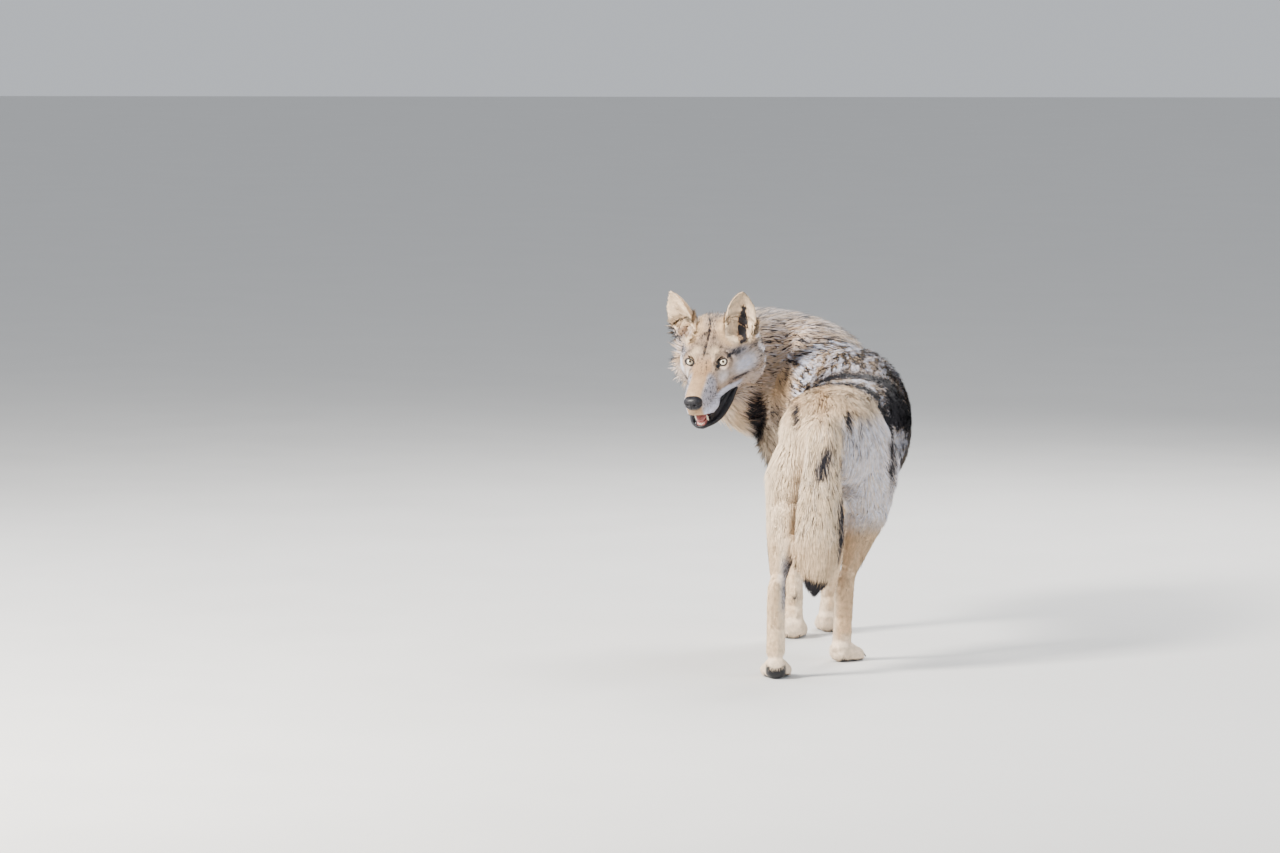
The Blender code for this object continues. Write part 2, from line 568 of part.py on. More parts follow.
def main():
    for obj in list(bpy.data.objects):
        bpy.data.objects.remove(obj)
    head_place = head_matrix()
    body = whole_form(head_place)
    nodes = {}
    tail_in = loft("tail_in", TAIL[1:], (0, 1, 0), sides=10, steps=1, grow=0.012)
    tail_out = loft("tail_out", TAIL[1:], (0, 1, 0), sides=10, steps=1, grow=0.012 + GAP)
    nodes["tail"] = split(body, "tail", tail_in, tail_out)
    for name, joints, girths, toe_out, size in LEGS:
        kind, side = name.split("_")
        leg = ("foreleg_" if kind == "fore" else "hindleg_") + side
        inner = leg_bounds("inner", joints, girths, toe_out)
        outer = leg_bounds("outer", joints, girths, toe_out, GAP)
        limb = split(body, leg, inner, outer)
        ankle = Vector((joints["ankle"][0], joints["ankle"][1], 0.066))
        nodes["paw_" + name] = split(limb, "paw_" + name, beyond("a", ankle, (0, 0, -1), 0.4, 0.2),
                                     beyond("b", ankle, (0, 0, -1), 0.4, 0.2, GAP))
        nodes[leg] = tidy(limb)
        add(nodes["paw_" + name], claws(name, joints["ankle"], toe_out, *size))
    nodes["head"] = split(body, "head", head_bounds("a", head_place), head_bounds("b", head_place, GAP))
    neck_at, neck_along = (0.045, -0.920, 0.640), (0.86, -0.05, 0.48)
    nodes["neck"] = split(body, "neck", beyond("a", neck_at, neck_along, 0.52, 0.45),
                          beyond("b", neck_at, neck_along, 0.52, 0.45, GAP))
    body.name = "trunk"
    nodes["trunk"] = tidy(body)
    head = nodes["head"]
    jaw_in = block("jaw_in", (0.0525, 0, -0.1805), (0.195, 0.24, 0.2))
    jaw_out = block("jaw_out", (0.0525, 0, -0.1805), (0.195 + 2 * GAP, 0.24, 0.2 + 2 * GAP))
    for cutter in (jaw_in, jaw_out):
        cutter.data.transform(head_place)
    nodes["jaw"] = split(head, "jaw", jaw_in, jaw_out)
    tidy(head)
    rooms = []
    for side, word in ((1, "left"), (-1, "right")):
        nodes["ear_" + word] = ear("ear_" + word, side, head_place)
        nodes["eye_" + word] = eyeball("eye_" + word, side, head_place)
        rooms += [swollen(nodes["ear_" + word]), swollen(nodes["eye_" + word])]
        carve(head, eye_opening("room", side, head_place))
    nodes["nose"] = nose("nose", head_place)
    nodes["tongue"] = loft("tongue", TONGUE, (0, 0, 1), sides=10, steps=1, matrix=head_place)
    rooms += [swollen(nodes["nose"]), swollen(nodes["tongue"])]
    carve(head, join("rooms", rooms))
    carve(nodes["jaw"], swollen(nodes["tongue"]))
    lower, upper = [], []
    for side in (-1, 1):
        lower.append(tooth("canine", (0.082, side * 0.0125, -0.110), (0.086, side * 0.0145, -0.090),
                           0.0034, head_place))
        upper.append(tooth("canine", (0.096, side * 0.0165, -0.055), (0.094, side * 0.0175, -0.082),
                           0.0038, head_place))
        for number, x in enumerate((0.0022, 0.0058, 0.0092)):
            lower.append(tooth("incisor", (0.0945 - number * 0.0022, side * x, -0.113),
                               (0.0965 - number * 0.0022, side * x, -0.1025), 0.0016, head_place))
    add(nodes["jaw"], lower)
    add(head, upper)
    tidy(head)
    tidy(nodes["jaw"])
    finish(nodes)


def finish(nodes):
    """Stands the wolf on the floor with its base centred, names it and gives it its colours."""
    points = np.array([v.co for obj in nodes.values() for v in obj.data.vertices])
    low, high = points.min(0), points.max(0)
    centre = Matrix.Translation(Vector((-(low[0] + high[0]) / 2, -(low[1] + high[1]) / 2, -low[2])))
    wolf = bpy.data.collections.new("timber_wolf")
    bpy.context.scene.collection.children.link(wolf)
    for name, obj in nodes.items():
        obj.data.transform(centre)
        obj.name = name
        obj.data.name = name
        obj.vertex_groups.clear()
        for old in list(obj.users_collection):
            old.objects.unlink(obj)
        wolf.objects.link(obj)
        colour, roughness = COLOURS[name.split("_")[0]]
        material = bpy.data.materials.new(name)
        material.use_nodes = True
        shader = material.node_tree.nodes["Principled BSDF"]
        shader.inputs["Base Color"].default_value = (*colour, 1.0)
        shader.inputs["Roughness"].default_value = roughness
        obj.data.materials.clear()
        obj.data.materials.append(material)


if __name__ == "__main__":
    main()
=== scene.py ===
"""The looks of a life-size timber wolf in winter coat, standing with its head turned back.

One skin, drawn in from the frame's solids by the depth of the coat, carries the markings. Over it
lie thin tufts that follow the lie of the coat and carry the same markings. Eyes, lids, nose,
tongue, teeth, claws and whiskers are surfaces of their own.
"""

import math

import bpy
import numpy as np
from mathutils import Matrix, Vector


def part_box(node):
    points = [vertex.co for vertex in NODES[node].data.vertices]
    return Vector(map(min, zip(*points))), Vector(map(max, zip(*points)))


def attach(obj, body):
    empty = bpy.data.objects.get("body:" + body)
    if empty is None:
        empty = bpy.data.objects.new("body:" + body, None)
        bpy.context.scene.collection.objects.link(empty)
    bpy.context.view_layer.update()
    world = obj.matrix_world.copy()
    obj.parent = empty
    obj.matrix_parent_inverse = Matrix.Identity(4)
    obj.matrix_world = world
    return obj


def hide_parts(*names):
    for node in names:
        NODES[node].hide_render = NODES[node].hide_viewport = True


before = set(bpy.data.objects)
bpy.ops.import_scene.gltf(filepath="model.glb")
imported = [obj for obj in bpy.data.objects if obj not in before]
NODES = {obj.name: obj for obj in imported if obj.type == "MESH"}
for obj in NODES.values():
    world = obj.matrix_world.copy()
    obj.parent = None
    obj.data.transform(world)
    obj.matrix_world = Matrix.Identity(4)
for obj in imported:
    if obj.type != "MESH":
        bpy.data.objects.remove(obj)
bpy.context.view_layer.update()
CHANCE = np.random.default_rng(11)

# ---------------------------------------------------------------------------------------------
# Sizes, in metres. The wolf's own measure runs from the floor under its left hind paw, with its
# rump towards +Y and its left side towards +X.

SKIN_CELL = 0.0025    # cell of the mesh that the skin is cast in
SKIN_TRIANGLES = 150000                         # what the skin is thinned to
FILL = 1.0              # share of the coat's tufts that is made
EYE_LEFT_AT = (0.2213, -0.6156, 0.6961)         # the left eyeball's middle in the wolf's measure
EYE_RADIUS = 0.0122
EYE_BACK = 0.0105                               # eyeballs behind the line through the pupils
EYE_SPAN = 0.0430                               # eyeballs from the middle of the face
NOSE_AHEAD, NOSE_BELOW = 0.127, 0.0395          # the nose pad's middle from the eyeballs'
EAR_ROOT = (-0.094, 0.062, 0.052)               # the left ear's root in the head's measure
EAR_LENGTH = 0.101
EAR_LEAF, EAR_SUNK = 0.121, 0.020               # an ear with its root, and how far that is sunk
EAR_BROAD = (1.26, 1.04)                        # how far an ear is stretched outwards and inwards
EAR_REACH = (0.052, 0.046)                      # no point of an ear lies further ahead or aside
MOUTH_CORNER, MOUTH_SIDE = -0.034, 0.085        # where the mouth ends behind and at the side
COAT_TRIANGLES = 198000                         # the most triangles in one piece of the coat

# The lines along which the coat lies, from where it starts: (x, y, z, radius of the body there).
BACK = ((0.020, -0.960, 0.580, 0.090), (0.004, -0.870, 0.580, 0.150),
        (-0.044, -0.780, 0.565, 0.150), (-0.093, -0.680, 0.555, 0.150),
        (-0.102, -0.570, 0.555, 0.150), (-0.095, -0.460, 0.560, 0.140),
        (-0.068, -0.350, 0.562, 0.125), (-0.045, -0.240, 0.560, 0.120),
        (-0.036, -0.150, 0.565, 0.100), (-0.034, -0.095, 0.575, 0.060))
NECK = ((0.246, -0.735, 0.712, 0.090), (0.214, -0.820, 0.706, 0.110), (0.165, -0.888, 0.694, 0.125),
        (0.110, -0.928, 0.678, 0.130), (0.050, -0.925, 0.655, 0.130),
        (-0.010, -0.880, 0.632, 0.130))
TAIL = ((-0.034, -0.135, 0.600, 0.030), (-0.027, -0.095, 0.575, 0.037),
        (-0.022, -0.068, 0.500, 0.043), (-0.019, -0.056, 0.420, 0.050),
        (-0.017, -0.048, 0.340, 0.055), (-0.012, -0.042, 0.270, 0.046),
        (-0.006, -0.040, 0.205, 0.020))
LEGS = {
    "hind_left": ((0.034, -0.225, 0.555, 0.070), (0.060, -0.190, 0.385, 0.066),
                  (0.073, -0.085, 0.290, 0.042), (0.084, 0.012, 0.205, 0.025),
                  (0.085, -0.008, 0.058, 0.024), (0.086, -0.045, 0.020, 0.030)),
    "hind_right": ((-0.122, -0.250, 0.555, 0.070), (-0.140, -0.385, 0.390, 0.066),
                   (-0.108, -0.325, 0.290, 0.042), (-0.079, -0.268, 0.190, 0.025),
                   (-0.071, -0.325, 0.050, 0.024), (-0.089, -0.358, 0.020, 0.030)),
    "fore_left": ((0.040, -0.850, 0.560, 0.070), (0.046, -0.795, 0.410, 0.045),
                  (0.045, -0.780, 0.250, 0.029), (0.044, -0.772, 0.125, 0.025),
                  (0.047, -0.770, 0.050, 0.025), (0.043, -0.812, 0.020, 0.032)),
    "fore_right": ((-0.100, -0.850, 0.560, 0.070), (-0.090, -0.820, 0.410, 0.045),
                   (-0.066, -0.856, 0.260, 0.029), (-0.044, -0.890, 0.130, 0.025),
                   (-0.042, -0.905, 0.052, 0.025), (-0.046, -0.948, 0.020, 0.032))}
# The paws: (x, y) under the ankle, how far the toes turn out, length, width and height.
PAWS = {"hind_left": (0.085, -0.008, 0.0, 0.095, 0.074, 0.040),
        "hind_right": (-0.071, -0.325, -0.5, 0.095, 0.076, 0.040),
        "fore_left": (0.047, -0.770, 0.1, 0.105, 0.086, 0.042),
        "fore_right": (-0.042, -0.905, -0.1, 0.105, 0.086, 0.042)}
# The line of the muzzle and skull in the head's measure: (ahead, left, up, radius).
FACE = ((0.128, 0, -0.041, 0.019), (0.108, 0, -0.044, 0.026), (0.080, 0, -0.045, 0.033),
        (0.045, 0, -0.045, 0.040), (0.018, 0, -0.040, 0.050), (-0.008, 0, -0.036, 0.064),
        (-0.038, 0, -0.036, 0.083), (-0.074, 0, -0.036, 0.098), (-0.115, 0, -0.030, 0.104),
        (-0.165, 0, -0.026, 0.090))
# Where the top of the lower jaw runs, (ahead, up), and the level of the upper lip's edge.
JAW_TOP = ((-0.050, -0.005, 0.030, 0.062, 0.088, 0.104),
           (-0.066, -0.081, -0.093, -0.101, -0.106, -0.112))
LIP_LEVEL = -0.0775
WIDEST = 0.3195                                 # no tuft reaches further to the left or right
# How far the upper lip hangs below the solids' mouth line, and half the width of the muzzle there.
LIP_DROP = ((-0.030, -0.020, 0.000, 0.020, 0.040, 0.060, 0.085, 0.100, 0.120),
            (0.000, 0.005, 0.014, 0.024, 0.029, 0.027, 0.022, 0.017, 0.015))
MOUTH_HALF = ((-0.05, -0.02, 0.00, 0.02, 0.04, 0.06, 0.08, 0.10, 0.11, 0.12),
              (0.062, 0.053, 0.044, 0.035, 0.030, 0.031, 0.031, 0.029, 0.025, 0.020))
# The lips' rims in the head's measure, from the mouth's corner to the front: (ahead, out, up).
UPPER_LIP = ((-0.034, 0.0540, -0.0770), (-0.018, 0.0490, -0.0790), (0.000, 0.0430, -0.0855),
             (0.020, 0.0350, -0.0925), (0.040, 0.0302, -0.0955), (0.060, 0.0300, -0.0940),
             (0.080, 0.0298, -0.0910), (0.095, 0.0275, -0.0885), (0.104, 0.0230, -0.0850),
             (0.110, 0.0150, -0.0800), (0.1125, 0.0070, -0.0765), (0.1130, 0.0, -0.0755))
LOWER_LIP = ((-0.034, 0.0560, -0.0830), (-0.018, 0.0540, -0.0905), (0.000, 0.0520, -0.0985),
             (0.020, 0.0480, -0.1060), (0.040, 0.0440, -0.1110), (0.060, 0.0385, -0.1135),
             (0.080, 0.0295, -0.1145), (0.094, 0.0200, -0.1140), (0.1030, 0.0090, -0.1145),
             (0.1050, 0.0, -0.1145))
# How an eye's opening is set, in degrees: how far the left (1) and right (-1) one faces outwards,
# how far the outer corner is raised, and how far the opening faces upwards.
EYE_TURN, EYE_SLANT, EYE_LIFT = {1: 20.0, -1: -8.0}, 18.0, 24.0


# ---------------------------------------------------------------------------------------------
# Small numeric helpers.

def unit(v):
    """Each vector divided by its own length."""
    return v / np.maximum(np.linalg.norm(v, axis=-1, keepdims=True), 1e-9)


def step(x, low, high):
    """0 below `low`, 1 above `high`, 3t^2 - 2t^3 between; the ends may come in either order."""
    t = np.clip((x - low) / (high - low), 0, 1)
    return t * t * (3 - 2 * t)


def within(x, low, rise, fall, high):
    """0 below `low` and above `high`, 1 from `rise` to `fall`, and a step curve between."""
    return step(x, low, rise) * step(x, high, fall)


def spot(points, centre, size):
    """A soft spot: e to the minus squared distance from `centre`, measured in `size`."""
    q = (points - np.asarray(centre)) / np.asarray(size)
    return np.exp(-(q * q).sum(-1))


def wool(points, size, seed=0.0):
    """Smooth noise from 0 to 1: random values at the corners of cells, blended by step curves."""
    q = points / np.asarray(size) + 31.7 * seed
    cell = np.floor(q)
    part = q - cell
    part = part * part * (3 - 2 * part)
    total = np.zeros(len(q))
    for corner in np.ndindex(2, 2, 2):
        corner = np.array(corner)
        weight = np.prod(np.where(corner == 1, part, 1 - part), axis=1)
        mixed = np.sin((cell + corner) @ np.array([127.1, 311.7, 74.7])) * 43758.5453
        total += weight * (mixed - np.floor(mixed))
    return total


def slope(points, size, seed=0.0):
    """How the noise rises along x, y and z, from its values a little way along each."""
    here = wool(points, size, seed)
    reach = float(np.min(size)) * 0.2
    rises = [wool(points + reach * axis, size, seed) - here for axis in np.eye(3)]
    return np.stack(rises, -1) / 0.2


def mesh_arrays(mesh):
    """A mesh's points, and the corners of its triangles and edges."""
    found = []
    mesh.calc_loop_triangles()
    for rows, key, each, kind in ((mesh.vertices, "co", 3, float),
                                  (mesh.loop_triangles, "vertices", 3, np.int32),
                                  (mesh.edges, "vertices", 2, np.int32)):
        values = np.empty(len(rows) * each, kind)
        rows.foreach_get(key, values)
        found.append(values.reshape(-1, each))
    return found


def smooth_path(stations, steps=7):
    """Points of a Catmull-Rom curve through the stations."""
    p = np.asarray(stations, float)
    p = np.vstack([2 * p[0] - p[1], p, 2 * p[-1] - p[-2]])
    t = np.linspace(0, 1, steps, endpoint=False)[:, None]
    spans = [0.5 * (2 * b + (c - a) * t + (2 * a - 5 * b + 4 * c - d) * t ** 2
                    + (3 * b - a - 3 * c + d) * t ** 3)
             for a, b, c, d in zip(p, p[1:], p[2:], p[3:])]
    return np.vstack(spans + [p[-2][None]])


# ---------------------------------------------------------------------------------------------
# The head's own measure (ahead, left, up from between the pupils), worked out from the frame.

def middle(node):
    """The middle of a node's box."""
    low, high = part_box(node)
    return (np.array(low) + np.array(high)) / 2


def head_axes():
    """Rows ahead, left and up: left runs through the eyes, ahead is tilted up from the nose."""
    left = unit(middle("eye_left") - middle("eye_right"))
    centre = (middle("eye_left") + middle("eye_right")) / 2
    to_nose = middle("nose") - centre
    to_nose = unit(to_nose - (to_nose @ left) * left)
    over_nose = np.cross(to_nose, left)
    drop = math.atan2(NOSE_BELOW, NOSE_AHEAD)
    ahead = math.cos(drop) * to_nose + math.sin(drop) * over_nose
    axes = np.array([ahead, left, np.cross(ahead, left)])
    return axes, centre + ahead * EYE_BACK


HEAD_AXES, HEAD_AT = head_axes()
SHIFT = middle("eye_left") - np.array(EYE_LEFT_AT)


def to_head(points):
    """From the frame into the head's measure."""
    return (points - HEAD_AT) @ HEAD_AXES.T


def from_head(points):
    """From the head's measure into the frame."""
    return np.asarray(points, float) @ HEAD_AXES + HEAD_AT


def eye_at(side):
    """An eyeball's middle in the head's measure: side is 1 for the left, -1 for the right."""
    return np.array((-EYE_BACK, side * EYE_SPAN, 0.0))


def in_frame(stations, place):
    """A path of stations with their places set in the frame and their radii kept."""
    rows = np.array(stations, float)
    rows[:, :3] = place(rows[:, :3])
    return rows


PATHS = {"head": in_frame(FACE, from_head)}
for part, stations in (("neck", NECK), ("trunk", BACK), ("tail", TAIL), *LEGS.items()):
    PATHS[part] = in_frame(stations, lambda places: places + SHIFT)
PARTS = list(PATHS)
TOPS = {"head": HEAD_AXES[2], "neck": (0, 0, 1), "trunk": (0, 0, 1), "tail": (0, 1, 0)}


def cloud_of(*nodes):
    """Points spread 16 mm apart at most over nodes of the frame, within reach of the tail."""
    low, high = (np.array(corner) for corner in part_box("tail"))
    low, high = low - 0.03, high + 0.03
    clouds = []
    for node in nodes:
        points, tris, _ = mesh_arrays(NODES[node].data)
        tris = points[tris]
        tris = tris[((tris.max(1) > low) & (tris.min(1) < high)).all(1)]
        while len(tris):
            sides = np.linalg.norm(tris - np.roll(tris, -1, axis=1), axis=2)
            clouds.append(tris[sides.max(1) <= 0.016].mean(1))
            tris, sides = tris[sides.max(1) > 0.016], sides[sides.max(1) > 0.016]
            turn = (sides.argmax(1)[:, None] + np.arange(3)) % 3
            a, b, c = tris[np.arange(len(tris))[:, None], turn].transpose(1, 0, 2)
            tris = np.concatenate([np.stack([a, (a + b) / 2, c], 1),
                                   np.stack([(a + b) / 2, b, c], 1)])
    points = np.vstack(clouds)
    return points[((points > low) & (points < high)).all(1)]


TAIL_CLOUD, OTHER_CLOUD = cloud_of("tail"), cloud_of("trunk", "hindleg_left", "hindleg_right")


def nearest(points, cloud):
    """Distance from each point to the nearest of a cloud."""
    gaps = [((rows ** 2).sum(1)[:, None] - 2 * rows @ cloud.T + (cloud ** 2).sum(1)[None]).min(1)
            for rows in np.array_split(points, len(points) // 4000 + 1)]
    return np.sqrt(np.maximum(np.concatenate(gaps), 0))


class Survey:
    """Where points lie on the body: by part, how far along it, how far round it, and its lie."""

    def __init__(self, points):
        self.points = points
        self.own = points - SHIFT
        self.head = to_head(points)
        count = len(points)
        self.near, self.along, self.round, self.span = (
            np.empty((len(PARTS), count), np.float32) for _ in range(4))
        lies = np.empty((len(PARTS), count, 3), np.float32)
        for row, part in enumerate(PARTS):
            path = smooth_path(PATHS[part])
            centre, radius = path[:, :3], path[:, 3]
            tangent = unit(np.gradient(centre, axis=0))
            length = np.concatenate([[0],
                                     np.cumsum(np.linalg.norm(np.diff(centre, axis=0), axis=1))])
            gap = (points ** 2).sum(1)[:, None] - 2 * points @ centre.T + (centre ** 2).sum(1)[None]
            pick = np.argmin(np.sqrt(np.maximum(gap, 0)) / radius[None], axis=1)
            away = points - centre[pick]
            here = tangent[pick]
            slide = (away * here).sum(1)
            self.near[row] = np.linalg.norm(away, axis=1) / radius[pick]
            self.span[row] = radius[pick]
            self.along[row] = np.clip((length[pick] + slide) / length[-1], 0, 1)
            top = np.asarray(TOPS.get(part, (0, -1, 0)), float)
            top = unit(top - (here @ top)[:, None] * here)
            side = np.cross(top, here)
            self.round[row] = np.arctan2((away * side).sum(1), (away * top).sum(1))
            lies[row] = here
            if part == "trunk":
                rear = step(self.own[:, 1], -0.30, -0.15)[:, None]
                lies[row] = unit(here * (1 - rear) + np.array((0.0, 0.20, -1.0)) * rear)
        # where tail and rump lie side by side, the nearer solid decides
        low, high = (np.array(corner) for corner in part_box("tail"))
        row = PARTS.index("tail")
        rival = np.delete(self.near, row, axis=0).min(0)
        near_tail = np.nonzero(((points > low - 0.02) & (points < high + 0.02)).all(1)
                               & (np.abs(self.near[row] - rival) < 0.8))[0]
        if len(near_tail):
            lead = nearest(points[near_tail], OTHER_CLOUD) - nearest(points[near_tail], TAIL_CLOUD)
            self.near[row, near_tail] -= 0.6 * np.clip(lead / 0.006, -1, 1)
        behind_nose = points - from_head((0.135, 0.0, -0.045))
        lies[PARTS.index("head")] = unit(behind_nose)
        weight = np.exp(-9.0 * (self.near - self.near.min(0)))
        self.weight = weight / weight.sum(0)
        self.part = self.near.argmin(0)
        self.lie = unit((self.weight[..., None] * lies).sum(0))

    def blend(self, profiles):
        """A value given for each part as (places along it, values there), blended between parts."""
        total = np.zeros(len(self.points))
        for row, part in enumerate(PARTS):
            places, values = profiles[part if part in profiles else "leg"]
            total += self.weight[row] * np.interp(self.along[row], places, values)
        return total

    def is_part(self, *names):
        """Which points belong to any of these parts."""
        return np.isin(self.part, [PARTS.index(name) for name in names])

    def of(self, name, what):
        """One of the measures by part, for the part of that name."""
        return getattr(self, what)[PARTS.index(name)]


# How deep the coat is, how long its hairs are and how broad a tuft is, along each part.
DEPTH = {"head": ((0, 0.3, 0.45, 0.6, 0.75, 0.9, 1),
                  (0.0006, 0.0009, 0.0015, 0.0030, 0.006, 0.012, 0.020)),
         "neck": ((0, 0.3, 1), (0.020, 0.025, 0.022)),
         "trunk": ((0, 0.3, 0.7, 0.9, 1), (0.020, 0.018, 0.015, 0.012, 0.010)),
         "tail": ((0, 0.2, 0.6, 0.9, 1), (0.008, 0.014, 0.020, 0.016, 0.006)),
         "leg": ((0, 0.25, 0.45, 0.65, 0.9, 1), (0.014, 0.011, 0.0055, 0.0022, 0.0018, 0.0015))}
LENGTH = {"head": ((0, 0.2, 0.45, 0.6, 0.75, 0.9, 1),
                   (0.0035, 0.005, 0.008, 0.012, 0.018, 0.032, 0.046)),
          "neck": ((0, 0.3, 1), (0.054, 0.066, 0.064)),
          "trunk": ((0, 0.3, 0.7, 0.9, 1), (0.062, 0.056, 0.048, 0.044, 0.040)),
          "tail": ((0, 0.2, 0.6, 0.85, 1), (0.036, 0.048, 0.050, 0.036, 0.020)),
          "leg": ((0, 0.25, 0.42, 0.60, 0.9, 1), (0.046, 0.042, 0.030, 0.015, 0.012, 0.010))}
WIDTH = {"head": ((0, 0.3, 0.6, 0.8, 1), (0.0008, 0.0010, 0.0012, 0.0016, 0.0022)),
         "neck": ((0, 1), (0.0023, 0.0024)),
         "trunk": ((0, 1), (0.0024, 0.0022)), "tail": ((0, 0.5, 1), (0.0020, 0.0022, 0.0018)),
         "leg": ((0, 0.3, 0.5, 1), (0.0022, 0.0020, 0.0013, 0.0011))}


def cheek(head):
    """How much a point is on the bushy cheek: out to the side, behind the eye, and low."""
    return (step(np.abs(head[:, 1]), 0.045, 0.085) * step(head[:, 0], -0.035, -0.085)
            * step(head[:, 2], 0.03, -0.02))


def throat(head):
    """How much a point is on the shaggy throat: low, and behind the chin."""
    return step(head[:, 2], -0.085, -0.125) * step(head[:, 0], 0.03, -0.05)


def ear_axes(side):
    """An ear's root and its axes to the front, to the left and along, in the head's measure."""
    turn = (Matrix.Rotation(math.radians(-20 * side), 3, "X")
            @ Matrix.Rotation(math.radians(6), 3, "Y")
            @ Matrix.Rotation(math.radians(24 * side), 3, "Z"))
    return np.array((EAR_ROOT[0], side * EAR_ROOT[1], EAR_ROOT[2])), np.array(turn).T


def ear_arc(rise):
    """Half width, roll, radius and middle of the arc that an ear makes at a height from 0 to 1.

    The half width is .036 (1 - h^2.3)^.62 (.86 + .55 h (1 - h)), and the roll falls from 112 to
    50 degrees.
    """
    half = 0.036 * np.clip(1 - rise ** 2.3, 0, 1) ** 0.62 * (0.86 + 0.55 * rise * (1 - rise))
    roll = np.radians(112 - 62 * rise)
    radius = half / np.sin(np.minimum(roll, math.pi / 2))
    return roll, radius, 0.65 * radius - 0.012 * np.sin(2.2 * rise)


def in_ear(head):
    """A point in the nearer ear: distance from the arc's middle in radii, front, out, along."""
    left = head[:, 1] > 0
    place = np.empty_like(head)
    for side, mine in ((1, left), (-1, ~left)):
        root, axes = ear_axes(side)
        place[mine] = (head[mine] - root) @ axes.T * (1, side, 1)
    front, out, high = place.T
    out = np.where(out > 0, out / EAR_BROAD[0], out / EAR_BROAD[1])
    _, radius, middle_at = ear_arc(np.clip((high + EAR_SUNK) / EAR_LEAF, 0, 0.985))
    reach = np.hypot(front - middle_at, out) / np.maximum(radius, 0.004)
    return reach, front, out, high


def ear_height(head):
    """How far up an ear a point is, from 0 at the root to 1 at the tip; 0 off the ears."""
    _, front, out, high = in_ear(head)
    near = (np.abs(front) < EAR_REACH[0]) & (np.abs(out) < EAR_REACH[1])
    return np.where(near, np.clip((high - 0.012) / (EAR_LENGTH - 0.012), 0, 1), 0.0)


def mouth_gap(head):
    """Distance outside the open mouth's two faces, up or down; below 0 in the mouth."""
    f, l, u = head.T
    half = np.interp(f, *MOUTH_HALF)
    rim = np.maximum(step(np.abs(l), 0.66 * half, 0.82 * half), step(f, 0.098, 0.106))
    edge = LIP_LEVEL - np.interp(f, *LIP_DROP) * rim
    gap = np.maximum(u - edge, np.interp(f, *JAW_TOP) - 0.003 - u)
    return np.where((f > MOUTH_CORNER) & (np.abs(l) < MOUTH_SIDE), gap, 0.1)


def socket_frame(side):
    """Out of an eye's socket, towards the eye's outer corner, and up, in the head's measure."""
    turn, slant, lift = (math.radians(angle) for angle in (EYE_TURN[side], EYE_SLANT, EYE_LIFT))
    out = np.array((math.cos(turn) * math.cos(lift), side * math.sin(turn) * math.cos(lift),
                    math.sin(lift)))
    outer = np.array((-math.sin(turn), side * math.cos(turn), 0.0))
    up = side * np.cross(out, outer)
    return np.array([out, math.cos(slant) * outer + math.sin(slant) * up,
                     math.cos(slant) * up - math.sin(slant) * outer])


def eye_shadow(head):
    """Bare black skin round an eye, running on past its inner corner."""
    dark = np.zeros(len(head))
    for side in (1, -1):
        away = (head - eye_at(side)) @ socket_frame(side).T
        ring = np.hypot(away[:, 1] / 0.0125, away[:, 2] / 0.0094)
        duct = np.hypot((away[:, 1] + 0.0140) / 0.0070, (away[:, 2] + 0.0032) / 0.0042)
        dark = np.maximum(dark, step(np.minimum(ring, duct), 1.15, 0.90)
                          * (np.abs(away[:, 0]) < 0.03))
    return dark


def coat_depth(survey):
    """How far the skin lies inside the coat's outline."""
    head, is_head = survey.head, survey.is_part("head")
    depth = survey.blend(DEPTH)
    depth = depth * (1 + is_head * (1.0 * cheek(head) + 1.2 * throat(head)))
    ear = step(ear_height(head), 0.0, 0.12) * is_head
    depth = depth * (1 - ear) + 0.0005 * ear
    nose = spot(head, (0.122, 0, -0.041), (0.016, 0.024, 0.020))
    depth = depth + 0.0030 * step(nose, 0.2, 0.6)
    lips = step(mouth_gap(head), 0.008, 0.002) * is_head
    depth = depth * (1 - lips) + 0.0004 * lips
    return depth * (0.3 + 0.7 * step(survey.own[:, 2], 0.0, 0.03))


def coat_length(survey):
    """How long the hairs are: by part, longer on cheeks and throat, and set in and on the ears."""
    head, is_head = survey.head, survey.is_part("head")
    length = survey.blend(LENGTH)
    length = length * (1 + is_head * (0.2 * cheek(head) + 0.8 * throat(head)))
    reach, _, _, high = in_ear(head)
    ear = step(ear_height(head), 0.0, 0.12)
    inner = step(reach, 1.02, 0.94) * step(high, -0.020, -0.012) * (high < 0.105)
    of_ear = np.where(inner > 0.5, 0.0065 + 0.0125 * step(high, 0.062, 0.010), 0.0075)
    ear = np.maximum(ear, inner) * is_head
    return length * (1 - ear) + of_ear * ear


# ---------------------------------------------------------------------------------------------
# Markings. Each is a strength from 0 to 1: black tips, tan, pale cream, silver, and bare black
# or pink skin.

def painter(*strengths):
    """Layers of the four strengths, and what blends them towards new ones as a mask says."""
    layers = np.stack(strengths)

    def cover(mask, *goal):
        goal = np.stack([np.broadcast_to(value, mask.shape) for value in goal])
        layers[:] = layers * (1 - mask) + goal * mask

    return layers, cover


